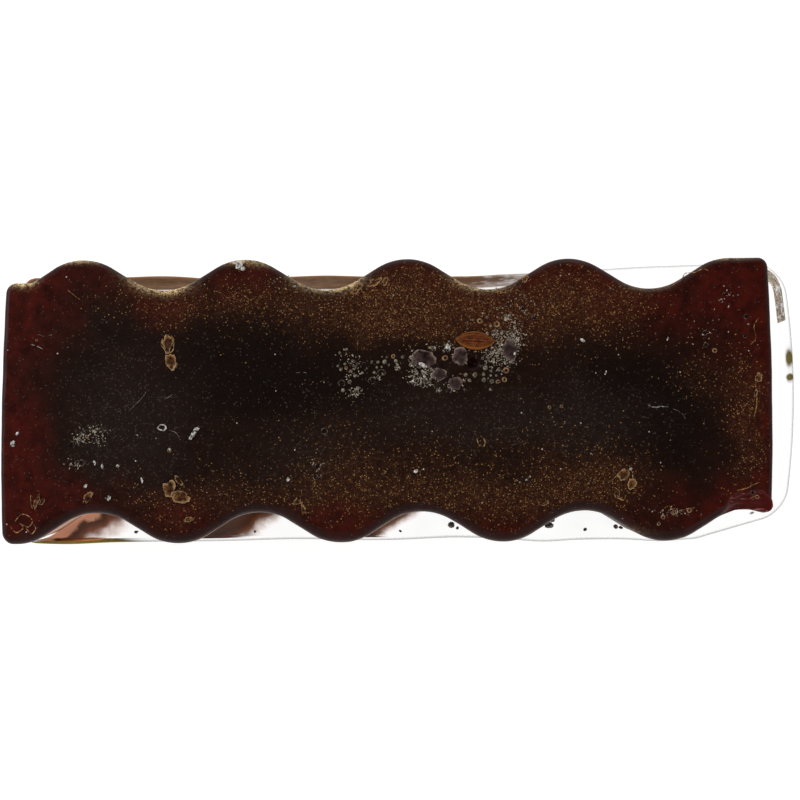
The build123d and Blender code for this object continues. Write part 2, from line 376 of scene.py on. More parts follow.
greyPatches = [
    (9.0, -2.0, 12.0, 2.8, 0.9), (-21.5, -1.0, 6.5, 6.0, 0.55), (-24.5, -4.0, 5.0, 4.0, 0.7),
    (17.0, 1.2, 3.5, 3.5, 0.4), (-8.0, -5.0, 5.0, 3.0, 0.6), (-26.0, 3.0, 4.0, 5.0, 0.35),
    (3.0, 1.0, 6.0, 2.0, 0.4), (20.0, -2.0, 5.0, 3.0, 0.45),
]
darkPatches = [
    (-12.6, 2.6, 8.0, 5.5, 1.0), (22.6, 1.0, 7.5, 5.5, 0.85), (-3.0, 1.0, 6.0, 3.0, 0.5),
    (10.5, -6.2, 3.5, 2.0, 0.5), (-27.4, 3.2, 2.4, 2.0, 0.5), (-24.6, 6.6, 2.2, 1.8, 0.5),
    (27.4, -4.0, 4.0, 4.0, 0.5), (3.0, 4.8, 3.0, 1.2, 0.5), (26.9, 9.4, 0.5, 1.5, 0.7),
    (-4.4, 7.4, 0.8, 1.4, 0.4),
]
# pale crust and chips, and painted glints along the back crests
chalkAndGlintPatches = [
    (-21.7, 10.6, 2.6, 0.9, 1.5), (-20.0, 10.2, 1.1, 0.6, 2.6), (-5.4, 10.7, 3.2, 0.8, 1.6),
    (-4.0, 10.5, 1.6, 0.5, 1.2), (7.6, 10.8, 1.9, 0.8, 1.5), (9.6, 10.2, 2.0, 0.4, 0.5),
    (-33.2, 10.9, 1.1, 0.5, 2.6), (-28.4, 12.9, 2.3, 0.35, 1.3), (-13.6, 12.8, 1.4, 0.4, 1.2),
    (30.9, 13.1, 1.9, 0.3, 1.3), (33.2, -10.6, 0.6, 0.35, 1.3), (-12.0, 12.5, 1.4, 0.4, 0.8),
    (-18.4, 10.2, 2.0, 0.5, 0.4), (23.6, 10.4, 2.4, 0.5, 0.35), (22.6, -12.0, 2.0, 0.4, 0.3),
]
# painted light: a peach glow on the cake's front wall in the left-hand hollow
wallGlowPatches = [(-29.6, -11.4, 2.3, 1.9, 1.3), (-28.0, -10.4, 1.6, 1.0, 0.7)]


def patchSum(patches, x, y, waver=0.9):
    # a sum of bell-shaped patches, their borders made uneven by waver millimetres
    x, y = x + waver * smoothNoise(x, y, 2.4, 41), y + waver * smoothNoise(x, y, 2.4, 42)
    total = np.zeros_like(x)
    for px, py, reachX, reachY, strength in patches:
        total += strength * np.exp(-(((x - px) / reachX) ** 2) - ((y - py) / reachY) ** 2)
    return total


def makeCake(material):
    # the outline is drawn inwards ring by ring: a rounded edge, a drafted wall and a rounded base; the
    # rubbing face closes it above and a strip of long faces closes it below
    front, right, back, left = (bowEnds(side) for side in cakeOutline())
    nx, ny = len(front), len(right)
    ring = np.concatenate([front, right[1:-1], back[::-1], left[::-1][1:-1]])
    ahead, behind = np.roll(ring, -1, 0), np.roll(ring, 1, 0)
    along = (ahead - behind) / np.linalg.norm(ahead - behind, axis=1)[:, None]
    outward = np.stack([along[:, 1], -along[:, 0]], -1)

    # how round the edge is: wide along the front, narrow along the back and at the ends
    facing = outward[:, 1]
    side = np.where(facing < 0, cake["frontBevel"], cake["backBevel"])
    bevel = side * np.abs(facing) ** 2 + cake["endBevel"] * (1 - np.abs(facing) ** 2)
    kernel = np.hanning(41) / np.hanning(41).sum()
    bevel = np.convolve(np.concatenate([bevel[-20:], bevel, bevel[:20]]), kernel, "valid")
    bevel *= 1 + 0.16 * smoothNoise(ring[:, 0], ring[:, 1], 2.2, 3)

    # the profile that is carried round the outline: edge round, drafted wall, base round
    slope = math.tan(math.radians(cake["draft"]))
    layers, roundedBy = [], []
    for turn in np.linspace(0, 1, 9):
        a = turn * math.pi / 2
        layers.append((bevel * (1 - math.sin(a)), -bevel * (1 - math.cos(a))))
        roundedBy.append(math.sin(turn * math.pi) ** 0.6 if 0 < turn < 1 else 0.0)
    deepest = -cake["height"] + cake["baseBevel"]
    for share in (0.06, 0.14, 0.28, 0.46, 0.64, 0.82, 1.0):
        layers.append((np.zeros_like(bevel), -bevel + share * (deepest + bevel)))
        roundedBy.append(0.0)
    for a in (0.5, 1.0, math.pi / 2):
        inset = cake["baseBevel"] * (1 - math.cos(a))
        height = deepest - cake["baseBevel"] * math.sin(a)
        layers.append((np.full_like(bevel, inset), np.full_like(bevel, height)))
        roundedBy.append(0.0)
    rings = []
    for inset, z in layers:
        plan = ring - outward * (inset - z * slope)[:, None]
        drag = 0.035 * smoothNoise(np.arange(len(ring)) * cake["step"], z * 0.15, 0.9, 7)
        plan = plan + outward * (drag * np.clip(-z / 2, 0, 1))[:, None]
        rings.append(np.column_stack([plan, z]))

    # the rubbing face is a blend of the innermost ring's front and back, plus a blend of its left and
    # right, less a blend of its four corners
    top = rings[0]
    topFront, topRight = top[:nx], top[nx - 1 : nx + ny - 1]
    topBack = top[nx + ny - 2 : 2 * nx + ny - 2][::-1]
    topLeft = np.concatenate([top[2 * nx + ny - 3 :], top[:1]])[::-1]
    u = ((topFront[:, 0] + topBack[:, 0]) / 2 - topFront[0, 0]) / (topFront[-1, 0] - topFront[0, 0])
    u[0], u[-1] = 0, 1
    u = u[:, None, None]
    v = np.linspace(0, 1, ny)[None, :, None]
    face = (1 - v) * topFront[:, None] + v * topBack[:, None] + (1 - u) * topLeft[None] + u * topRight[None]
    corners = (1 - u) * (1 - v) * topFront[0] + u * (1 - v) * topFront[-1]
    face -= corners + (1 - u) * v * topBack[0] + u * v * topBack[-1]

    # one list of points: all of the face's grid, whose border is the first ring, then the other rings
    border = np.concatenate([
        np.arange(nx) * ny,
        (nx - 1) * ny + np.arange(1, ny - 1),
        np.arange(nx)[::-1] * ny + ny - 1,
        np.arange(1, ny - 1)[::-1],
    ])
    facePoints = face.reshape(-1, 3)
    count = len(ring)
    points = np.concatenate([facePoints] + rings[1:])
    rounded = np.concatenate([np.zeros(len(facePoints))] + [np.full(count, share) for share in roundedBy[1:]])
    quads = [gridQuads(nx, ny)[:, ::-1]]
    upper = border
    for k in range(len(rings) - 1):
        lower = len(facePoints) + k * count + np.arange(count)
        quads.append(np.stack([upper, lower, np.roll(lower, -1), np.roll(upper, -1)], -1))
        upper = lower
    # the base is a strip of long faces from front to back, with one thin face along each bulging end
    ahead, behind = upper[:nx], upper[nx + ny - 2 : 2 * nx + ny - 2][::-1]
    quads.append(np.stack([ahead[:-1], behind[:-1], behind[1:], ahead[1:]], -1))
    rightEnd, leftEnd = upper[nx - 1 : nx + ny - 1], np.append(upper[2 * nx + ny - 3 :], upper[0])
    faces = np.concatenate(quads).tolist() + [rightEnd[::-1].tolist(), leftEnd[::-1].tolist()]

    x, y, z = points.T.copy()
    nearFace = np.clip(1 + z / 1.2, 0, 1)
    points[:, 2] += (faceRelief(x, y) + huskPocket(x, y)) * nearFace
    fresh = points.copy()
    points = breakAway(points)
    moved = np.linalg.norm(points - fresh, axis=1)

    # what the material reads
    endDepth = np.clip(np.minimum(x + cake["length"] / 2, cake["length"] / 2 - x), 0, None)
    sideDepth = np.clip(np.minimum(y - frontEdge(x), backEdge(x) - y), 0, None)
    onWall = np.clip((-z - 0.9) / 0.8, 0, 1)
    faceShare = 1 - onWall
    scar = np.clip(moved * 4, 0, 1) * (np.hypot(x - chips[0][0], y - chips[0][1]) < chips[0][2])
    # painted glow: red patches of the face, and red near the sides, the ends and on the wall, where light
    # comes through the thin rosin
    red = patchSum(redGlowPatches, x, y) + 0.30 * np.exp(-sideDepth / 1.4) + 0.25 * np.exp(-endDepth / 1.5)
    red = red * faceShare + (0.45 * np.exp(-endDepth / 5.0) + 0.3) * onWall + 0.7 * scar
    gold = patchSum(goldPatches, x, y) * faceShare + 1.2 * onWall * np.exp(z / 7.0) * np.exp(-endDepth / 40)
    # a crust of dust on the wall just under the front's rounded edge, on the flanks that face right
    fromCrest = x - cake["firstCrest"] - cake["frontLag"] + cake["length"] / 2
    facesRight = np.clip(-np.sin(fromCrest * 2 * math.pi / cake["pitch"]), 0, 1)
    crust = 0.9 * facesRight * (y < -9) * np.exp(-(((z + 1.15) / 0.4) ** 2))
    crust = crust * np.clip((x + 22) / 4, 0, 1) * np.clip((30 - x) / 4, 0, 1)
    # painted shade: the deep burst bubble is darkened inside
    pitShade = np.zeros_like(x)
    for dx, dy, radius, depth in dishes:
        if depth > 0.4:
            pitShade = np.maximum(pitShade, np.clip(1.3 - np.hypot(x - dx, y - dy) / radius * 1.3, 0, 1) ** 0.5)
    chalkAndGlint = patchSum(chalkAndGlintPatches, x, y, 0.0) * np.clip((z + 1.1) / 0.5, 0, 1) * np.exp(-sideDepth / 0.45)
    marks = dict(
        paintedRedGlow=red,
        goldDust=gold * (1 - rounded * 0.8) * (1 - scar),
        greyHaze=patchSum(greyPatches, x, y) * faceShare,
        deepDark=patchSum(darkPatches, x, y) * faceShare,
        paintedPitShade=pitShade,
        chalkAndGlint=chalkAndGlint + crust,
        wall=onWall,
        rounded=rounded,
        scar=scar,
        wallGlow=patchSum(wallGlowPatches, x, y, 0.0) * np.clip((-z - 0.7) / 0.3, 0, 1),
    )
    points = points + np.array([cakeMidX, 0.0, faceZ])
    piece = makePiece("cakeCast", points, faces, "cake", material, marks=marks)
    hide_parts("rosin_cake")
    print("cake:", len(points), "points")


def rosinMaterial():
    material, tree, surface = newMaterial("darkRosin")
    place = objectPlace(tree)
    red, gold, grey = mark(tree, "paintedRedGlow"), mark(tree, "goldDust"), mark(tree, "greyHaze")
    dark, wall, edge, scar = (mark(tree, name) for name in ("deepDark", "wall", "rounded", "scar"))

    # body colour: near black, a painted red glow where light gets in, greenish black where it is thickest
    blotch = cloud(tree, place, 5.0, 4.0, 0.6)
    fine = cloud(tree, place, 0.55, 4.0, 0.7)
    grit = cloud(tree, place, 0.13, 2.0, 0.8)
    uneven = times(tree, red, ramp(tree, blotch, 0.25, 0.75, 0.6, 1.3))
    colour = blendColour(tree, ramp(tree, uneven, 0.0, 1.0), rgb(26, 14, 10), rgb(60, 15, 10))
    colour = blendColour(tree, ramp(tree, dark, 0.1, 1.0), colour, rgb(15, 9, 7))
    clot = ramp(tree, cloud(tree, place, 1.5, 4.0, 0.7), 0.52, 0.64)
    clot = times(tree, clot, ramp(tree, red, 0.2, 0.6, 0.0, 0.55))
    colour = blendColour(tree, clot, colour, rgb(27, 5, 3))
    murk = ramp(tree, cloud(tree, place, 1.3, 5.0, 0.65), 0.36, 0.62, 0.5, 0.0)
    colour = blendColour(tree, murk, colour, rgb(13, 6, 4))
    haze = times(tree, ramp(tree, grey, 0.1, 1.0), ramp(tree, fine, 0.3, 0.7, 0.25, 0.8))
    colour = blendColour(tree, haze, colour, rgb(29, 21, 18))
    warm = times(tree, ramp(tree, gold, 0.05, 1.0), ramp(tree, fine, 0.25, 0.75, 0.45, 0.9))
    colour = blendColour(tree, warm, colour, rgb(40, 17, 8))

    # dust that fills the scratches of use: fine grit and two sizes of speck, thickest in the gold patches
    thick = times(tree, gold, ramp(tree, fine, 0.2, 0.7, 0.35, 1.0))
    gritty = times(tree, ramp(tree, grit, 0.47, 0.66), ramp(tree, thick, 0.0, 0.9, 0.05, 0.9))
    colour = blendColour(tree, gritty, colour, blendColour(tree, fine, rgb(60, 28, 12), rgb(100, 66, 38)))
    dust, tint = dots(tree, place, 0.12, 0.52, times(tree, thick, 0.36))
    golden = blendColour(tree, tint, rgb(72, 42, 20), rgb(160, 122, 76))
    colour = blendColour(tree, times(tree, dust, 0.9), colour, golden)
    offWall = maths(tree, "SUBTRACT", 1.0, wall)
    dull, dullTint = dots(tree, place, 0.15, 0.5, maths(tree, "ADD", times(tree, grey, 0.26), 0.07))
    dusty = blendColour(tree, dullTint, rgb(38, 28, 23), rgb(76, 66, 58))
    colour = blendColour(tree, times(tree, dull, times(tree, offWall, 0.7)), colour, dusty)
    pale, paleTint = dots(tree, place, 0.9, 0.09, 0.30)
    flecks = blendColour(tree, paleTint, rgb(74, 56, 48), rgb(190, 178, 168))
    colour = blendColour(tree, times(tree, pale, offWall), colour, flecks)

    # scratches: noise stretched along one line
    turned = put(tree, "Mapping", {0: place, 2: (0, 0, math.radians(40)), 3: (1, 14, 1)}).outputs[0]
    scratch = ramp(tree, cloud(tree, turned, 4.0, 2.0, 0.5), 0.68, 0.72)
    colour = blendColour(tree, times(tree, scratch, times(tree, grey, 0.3)), colour, rgb(66, 58, 54))

    # the rounded edge is smooth and greyer: a painted grey sheen, as if it mirrored the surroundings, with
    # dust caught in it here and there
    edgeSheenAndDust = times(tree, edge, ramp(tree, fine, 0.3, 0.7, 0.5, 0.8))
    colour = blendColour(tree, edgeSheenAndDust, colour, rgb(45, 34, 33))
    crumble = ramp(tree, cloud(tree, place, 0.30, 4.0, 0.75), 0.38, 0.56)
    # pale crust and chips, and painted glints on the back crests
    crust = times(tree, mark(tree, "chalkAndGlint"), crumble, True)
    crustAndGlintTint = blendColour(tree, ramp(tree, grit, 0.4, 0.64), rgb(118, 84, 44), rgb(206, 184, 142))
    colour = blendColour(tree, crust, colour, crustAndGlintTint)
    # painted light: a peach glow on the front wall of the left-hand hollow
    paintedWallGlow = times(tree, mark(tree, "wallGlow"), ramp(tree, fine, 0.2, 0.6, 0.75, 1.0), True)
    wallGlowTint = blendColour(tree, fine, rgb(138, 92, 70), rgb(186, 150, 130))
    colour = blendColour(tree, paintedWallGlow, colour, wallGlowTint)
    # in the break the rosin is bare and red, with painted pale highlights along its cracks
    colour = blendColour(tree, times(tree, scar, 0.8), colour, rgb(70, 14, 11))
    layered = put(tree, "Mapping", {0: place, 2: (0, 0, math.radians(12)), 3: (1, 6, 1)}).outputs[0]
    crackHighlight = ramp(tree, cloud(tree, layered, 1.6, 4.0, 0.6), 0.60, 0.68)
    crackHighlight = times(tree, crackHighlight, times(tree, scar, crumble))
    colour = blendColour(tree, crackHighlight, colour, rgb(150, 100, 92))
    # painted shade inside the deep burst bubble
    colour = blendColour(tree, mark(tree, "paintedPitShade"), colour, rgb(22, 5, 3))
    link(tree, colour, surface, "Base Color")

    rough = ramp(tree, maths(tree, "ADD", gold, grey), 0.0, 1.2, 0.42, 0.6)
    smoother = maths(tree, "MAXIMUM", edge, scar)
    rough = put(tree, "Mix", {0: smoother, 2: rough, 3: 0.28}, data_type="FLOAT").outputs[0]
    link(tree, rough, surface, "Roughness")
    height = maths(tree, "ADD", times(tree, fine, 0.6), times(tree, dust, 0.3))
    height = maths(tree, "ADD", height, times(tree, grit, 0.25))
    bump = put(tree, "Bump", {"Height": height, "Strength": 0.35, "Distance": 0.05 * mm})
    link(tree, bump.outputs[0], surface, "Normal")
    surface.inputs["IOR"].default_value = 1.5
    surface.inputs["Specular IOR Level"].default_value = 0.07
    surface.inputs["Subsurface Weight"].default_value = 0.15
    surface.inputs["Subsurface Radius"].default_value = (1.0, 0.25, 0.12)
    surface.inputs["Subsurface Scale"].default_value = 0.5 * mm
    return material


husk = dict(x=8.0, y=5.4, length=3.6, width=1.7, turn=-4.0, crown=0.30, ribs=9, proud=0.06)


def makeHusk(material):
    # a pointed boat: the width follows a half lens, the top a shallow arch with ribs along it
    u = np.linspace(-1, 1, 61)[:, None]
    v = np.linspace(-1, 1, 33)[None, :]
    halfWidth = husk["width"] / 2 * (1 - u**2) ** 0.8 + 1e-4
    x = u * husk["length"] / 2 + 0 * v
    y = v * halfWidth
    arch = (1 - v**2) * (1 - u**4)
    ribs = 0.035 * np.cos(v * math.pi * husk["ribs"] / 2) * (1 - u**2)
    dent = -0.11 * np.exp(-((u + 0.1) / 0.5) ** 2 - ((v - 0.15) / 0.45) ** 2)
    z = husk["crown"] * arch * 0.55 + ribs + dent + 0.03 * smoothNoise(x * 3, y * 3, 0.6, 21)
    turn = math.radians(husk["turn"])
    upper = np.stack([x, y, z + husk["proud"]], -1)
    lower = np.stack([x, y * 0.97, 0 * z - 0.16 - 0.1 * arch], -1)
    points = np.concatenate([upper.reshape(-1, 3), lower.reshape(-1, 3)])
    c, s = math.cos(turn), math.sin(turn)
    turned = points @ np.array([[c, s, 0], [-s, c, 0], [0, 0, 1]])
    rows, cols = upper.shape[:2]
    quads = gridQuads(rows, cols)[:, ::-1]
    loop = np.concatenate([
        np.arange(rows) * cols, (rows - 1) * cols + np.arange(1, cols),
        np.arange(rows - 1)[::-1] * cols + cols - 1, np.arange(1, cols - 1)[::-1],
    ])
    skirt = np.stack([loop, loop + rows * cols, np.roll(loop, -1) + rows * cols, np.roll(loop, -1)], -1)
    faces = np.concatenate([quads, quads[:, ::-1] + rows * cols, skirt])
    rim = np.clip(np.abs(v) ** 3 + u**6, 0, 1)
    marks = dict(rim=np.concatenate([rim.ravel(), rim.ravel()]), across=np.tile((v + 0 * u).ravel(), 2))
    turned += np.array([cakeMidX + husk["x"], husk["y"], faceZ - 0.03])
    piece = makePiece("grainHusk", turned, faces, "cake", material, marks=marks)
    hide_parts("seed_husk")


def huskMaterial():
    material, tree, surface = newMaterial("dryHusk")
    place = objectPlace(tree)
    across = mark(tree, "across")
    lines = put(tree, "Math", {0: times(tree, across, 22.0)}, operation="SINE").outputs[0]
    fibre = maths(tree, "ADD", times(tree, lines, 0.10), cloud(tree, place, 0.45, 4.0, 0.75))
    colour = blendColour(tree, ramp(tree, fibre, 0.3, 0.7), rgb(40, 14, 6), rgb(100, 50, 20))
    low = times(tree, ramp(tree, across, -0.45, -0.85), ramp(tree, fibre, 0.2, 0.6, 0.4, 1.0))
    colour = blendColour(tree, low, colour, rgb(122, 68, 24))
    colour = blendColour(tree, times(tree, mark(tree, "rim"), 0.45), colour, rgb(120, 76, 34))
    link(tree, colour, surface, "Base Color")
    surface.inputs["Specular IOR Level"].default_value = 0.12
    link(tree, ramp(tree, fibre, 0.2, 0.9, 0.38, 0.6), surface, "Roughness")
    bump = put(tree, "Bump", {"Height": fibre, "Strength": 0.5, "Distance": 0.04 * mm})
    link(tree, bump.outputs[0], surface, "Normal")
    return material


def ringShape(around, thick, tube):
    # a ring of radius 1: a small circle of radius tube carried round a circle
    a = np.linspace(0, 2 * math.pi, around, endpoint=False)[:, None]
    b = np.linspace(0, 2 * math.pi, thick, endpoint=False)[None, :]
    r = 1 + tube * np.cos(b)
    points = np.stack([r * np.cos(a), r * np.sin(a), tube * np.sin(b) + 0 * a], -1)
    return points.reshape(-1, 3), gridQuads(around, thick, True, True)


def poleCaps(around, rows):
    # triangles from a shape's first and last rings of points to its two poles, which come after the rings
    k = np.arange(around)
    k2 = (k + 1) % around
    last = (rows - 1) * around
    low = np.stack([k2, k, np.full(around, rows * around)], -1)
    high = np.stack([last + k, last + k2, np.full(around, rows * around + 1)], -1)
    return np.concatenate([low, high])


def scatterClosed(shape, quads, caps, places, sizes, turns):
    # scatters a shape that is made of quads and of triangles at its poles
    points, quadFaces = scatter(shape, quads, places, sizes, turns)
    capFaces = scatter(shape, caps, places, sizes, turns)[1]
    return points, quadFaces.tolist() + capFaces.tolist()


def grainShape(around, rows, seed, count, rough):
    # uneven grains: rings of a ball, each point pushed in or out at random, with both poles closed
    rng = np.random.default_rng(seed)
    a = np.linspace(0, 2 * math.pi, around, endpoint=False)
    lat = np.linspace(-math.pi / 2, math.pi / 2, rows + 2)[1:-1]
    ball = np.stack([
        np.cos(lat)[:, None] * np.cos(a)[None],
        np.cos(lat)[:, None] * np.sin(a)[None],
        np.sin(lat)[:, None] + 0 * a,
    ], -1).reshape(-1, 3)
    points = np.concatenate([ball, [[0, 0, -1.0], [0, 0, 1.0]]])[None].repeat(count, 0)
    points = points * (1 + rng.uniform(-rough, rough, points.shape[:2]))[..., None]
    return points, gridQuads(rows, around, False, True), poleCaps(around, rows)


def scatterGrains(around, rows, seed, places, sizes, turns, rough=0.3):
    shape, quads, caps = grainShape(around, rows, seed, len(places), rough)
    return scatterClosed(shape, quads, caps, places, sizes, turns)


def onFace(xy, lift=0.0):
    # from places on the cake, measured from its middle, to the row's frame
    z = faceZ + lift + faceRelief(xy[:, 0], xy[:, 1])
    return np.column_stack([xy[:, 0] + cakeMidX, xy[:, 1], z])


froth = dict(
    domes=[  # small whole bubbles: place and radius
        (8.9, 2.9, 0.23), (7.96, 2.27, 0.26), (7.1, 2.27, 0.19), (8.73, 2.32, 0.18), (9.4, 2.2, 0.12),
        (9.9, 2.2, 0.12), (7.46, 1.75, 0.20), (8.76, 1.8, 0.22), (9.5, 1.66, 0.21), (10.15, 2.75, 0.2),
        (9.46, 2.6, 0.1), (7.0, 1.7, 0.12), (5.55, 1.1, 0.10), (9.36, 0.9, 0.14), (9.42, 6.73, 0.14),
        (9.1, 7.55, 0.14), (7.3, 7.05, 0.11), (7.8, 7.3, 0.13), (7.3, 6.5, 0.10), (12.3, 6.7, 0.12),
        (8.7, 7.9, 0.10), (10.4, 5.6, 0.10), (-4.37, 4.32, 0.14), (-3.78, 4.64, 0.15),
        (-4.28, 2.82, 0.16), (-4.55, 3.14, 0.13), (-1.46, 3.48, 0.15), (-0.9, 3.46, 0.16),
        (-0.27, 3.5, 0.22), (0.1, 3.2, 0.13), (0.73, 3.58, 0.17), (1.36, 3.94, 0.16), (-1.24, 2.52, 0.14),
        (-1.0, 2.98, 0.12), (-0.55, 3.04, 0.12), (-1.9, 2.88, 0.1), (-3.0, 2.23, 0.16),
        (-3.37, 2.64, 0.16), (-2.32, 2.5, 0.13), (-0.5, 2.3, 0.1), (-3.9, 3.3, 0.14), (-3.2, 3.6, 0.13),
        (-3.5, 1.68, 0.21), (-2.77, 1.09, 0.22), (-4.1, 0.9, 0.19), (-0.1, 3.9, 0.1), (0.9, 3.2, 0.12),
        (1.1, 2.9, 0.1),
    ],
    rims=[  # bubbles open at the top: place and radius
        (8.44, 7.19, 0.26), (9.99, 6.89, 0.26), (5.23, 3.82, 0.26), (10.81, 2.66, 0.26),
        (10.65, 1.82, 0.23), (10.05, 1.64, 0.20), (10.25, 5.2, 0.20), (0.5, 4.0, 0.20),
        (-3.8, 2.95, 0.16), (-27.4, -3.2, 0.16), (14.74, -0.73, 0.16), (15.83, -0.64, 0.15),
        (26.0, -10.4, 0.26), (25.0, -10.8, 0.2), (33.6, -9.0, 0.2), (-19.9, -4.5, 0.2),
        (-32.0, 5.6, 0.12), (29.9, 4.4, 0.22), (24.6, -11.4, 0.18), (27.4, -10.2, 0.22),
    ],
    grainSpots=[  # middle, reach along X and Y, how many
        (9.6, 4.0, 0.95, 0.95, 210), (9.8, 6.1, 0.6, 0.35, 50), (11.4, 5.9, 0.95, 0.65, 130),
        (11.9, 5.3, 0.5, 0.6, 50), (11.0, 3.4, 0.8, 0.4, 60), (10.4, 4.6, 0.35, 0.8, 40),
        (11.0, 7.5, 0.5, 0.35, 36), (11.6, 6.9, 0.3, 0.4, 20), (3.0, 2.3, 0.95, 0.75, 150),
        (4.4, 2.4, 0.7, 0.5, 60), (3.3, 1.5, 0.9, 0.25, 40), (5.5, 4.85, 0.35, 0.3, 50),
        (4.2, 4.8, 0.5, 0.3, 26), (6.2, 1.4, 0.75, 0.65, 40), (6.6, 4.0, 0.8, 0.7, 26),
        (2.1, 3.6, 0.2, 0.9, 26), (-3.2, 3.1, 0.8, 0.9, 60), (-2.9, 0.7, 0.6, 0.35, 40),
        (-0.8, 2.0, 0.5, 0.5, 24), (0.9, 3.0, 0.3, 0.4, 20), (-28.0, -3.4, 0.7, 0.5, 60),
        (-26.6, -2.8, 0.9, 0.6, 44), (-26.2, -3.6, 0.5, 0.4, 20), (-28.6, -5.6, 0.5, 0.5, 24),
        (-6.4, -6.0, 0.5, 1.2, 20), (11.6, 8.6, 1.6, 1.2, 36), (26.0, -10.3, 1.6, 0.35, 44),
        (31.0, 9.4, 0.8, 0.8, 20), (29.2, 6.0, 1.3, 1.3, 18), (4.6, 1.0, 0.3, 0.3, 16),
        (12.6, -7.6, 1.0, 0.6, 10), (-10.0, 11.0, 0.8, 0.6, 12),
    ],
    grainSize=(0.028, 0.080),
)


def spread(spots, rng):
    # random places round each spot, thinning outwards
    clouds = []
    for x, y, reachX, reachY, count in spots:
        alongX, alongY = rng.normal(x, reachX * 0.6, count), rng.normal(y, reachY * 0.6, count)
        clouds.append(np.column_stack([alongX, alongY]))
    return np.concatenate(clouds)


def domeShape(around, rows):
    # the upper cap of a ball of radius 1, closed by a flat base a little below the face
    a = np.linspace(0, 2 * math.pi, around, endpoint=False)
    lat = np.linspace(-0.35, 1.35, rows)[:, None]
    cap = np.stack([np.cos(lat) * np.cos(a), np.cos(lat) * np.sin(a), np.sin(lat) + 0 * a], -1).reshape(-1, 3)
    points = np.concatenate([cap, [[0, 0, -0.35], [0, 0, 1.0]]])
    return points, gridQuads(rows, around, False, True), poleCaps(around, rows)


def makeFroth(domeMaterial, rimMaterial, grainMaterial):
    # whole bubbles are caps of balls, open ones are rings, and dried froth is uneven grains
    rng = np.random.default_rng(31)
    spots = np.array(froth["domes"])
    size = spots[:, 2]
    shape, quads, caps = domeShape(12, 5)
    sizes = np.column_stack([size, size * rng.uniform(0.8, 1.0, len(size)), size * 0.45])
    turns = rng.uniform(0, 3.14, len(size))
    points, faces = scatterClosed(shape, quads, caps, onFace(spots[:, :2]), sizes, turns)
    makePiece("bubbleDomes", points, faces, "cake", domeMaterial)

    spots = np.array(froth["rims"])
    size = spots[:, 2]
    shape, quads = ringShape(18, 8, 0.36)
    sizes = np.column_stack([size * 0.8, size * rng.uniform(0.66, 0.8, len(size)), size * 0.5])
    points, faces = scatter(shape, quads, onFace(spots[:, :2]), sizes, rng.uniform(0, 3.14, len(size)))
    makePiece("bubbleRims", points, faces.tolist(), "cake", rimMaterial)

    xy = spread(froth["grainSpots"], rng)
    size = rng.uniform(*froth["grainSize"], len(xy))
    lengths, widths = size * rng.uniform(1.0, 1.8, len(xy)), size * rng.uniform(0.5, 1.0, len(xy))
    sizes = np.column_stack([lengths, widths, size * 0.6])
    points, faces = scatterGrains(6, 3, 33, onFace(xy, 0.01), sizes, rng.uniform(0, 6.28, len(xy)))
    makePiece("paleFroth", points, faces, "cake", grainMaterial, smooth=False)
    print("froth:", len(xy), "grains")


def paleMaterial(name, low, high, rough, alpha=1.0, broken=False):
    # broken rosin and dried froth: glassy grains whose tone changes from grain to grain
    material, tree, surface = newMaterial(name)
    if broken:
        gaps = cloud(tree, objectPlace(tree), 0.45, 3.0, 0.7)
        link(tree, ramp(tree, gaps, 0.36, 0.50, 0.0, 1.0), surface, "Alpha")
    tone = cloud(tree, objectPlace(tree), 0.30, 2.0, 0.6)
    link(tree, blendColour(tree, ramp(tree, tone, 0.36, 0.66), low, high), surface, "Base Color")
    link(tree, ramp(tree, tone, 0.2, 0.8, rough, rough + 0.2), surface, "Roughness")
    if not broken:
        surface.inputs["Alpha"].default_value = alpha
    surface.inputs["Specular IOR Level"].default_value = 0.3
    return material


skins = [  # blisters over the burst bubbles: place, radius along X and Y
    (3.25, 3.75, 1.10, 0.85), (6.6, 4.0, 0.72, 0.78), (11.15, 4.5, 0.66, 0.98), (6.15, 1.5, 0.62, 0.60),
    (4.7, 2.35, 0.72, 0.55),
]


def raggedSheet(x, y, reachX, reachY, turn, lift, curl, seed, waver, thickness):
    # a round sheet with a wavering rim that arches by lift, curls up by curl at its rim, and has a thickness
    rows, cols = 10, 44
    a = np.linspace(0, 2 * math.pi, cols, endpoint=False)[None, :]
    s = np.linspace(0.04, 1, rows)[:, None]
    edge = 1 + waver * smoothNoise(np.cos(a) * 2.0 + seed * 4, np.sin(a) * 2.0, 0.8, 80 + seed)
    edge = edge + 0.35 * waver * smoothNoise(np.cos(a) * 2.0 + seed * 4, np.sin(a) * 2.0, 0.22, 90 + seed)
    lx, ly = s * edge * np.cos(a) * reachX, s * edge * np.sin(a) * reachY
    t = math.radians(turn)
    px, py = lx * math.cos(t) - ly * math.sin(t) + x, lx * math.sin(t) + ly * math.cos(t) + y
    pz = 0.02 + lift * (1 - s**2) + curl * s**3 * (0.55 + 0.45 * np.cos(a * 2 + seed))
    pz = pz + 0.04 * smoothNoise(px * 1.7, py * 1.7, 0.5, 50 + seed) * s
    top = np.stack([px, py, pz], -1).reshape(-1, 3)
    half = rows * cols
    quads = gridQuads(rows, cols, False, True)
    outer = (rows - 1) * cols + np.arange(cols)
    rimQuads = np.stack([outer, outer + half, np.roll(outer, -1) + half, np.roll(outer, -1)], -1)
    faces = quads.tolist() + (quads[:, ::-1] + half).tolist() + rimQuads[:, ::-1].tolist()
    faces += [list(range(cols))[::-1], [half + n for n in range(cols)]]
    return np.concatenate([top, top - [0, 0, thickness]]), faces, np.tile((s + 0 * a).ravel() ** 5, 2)


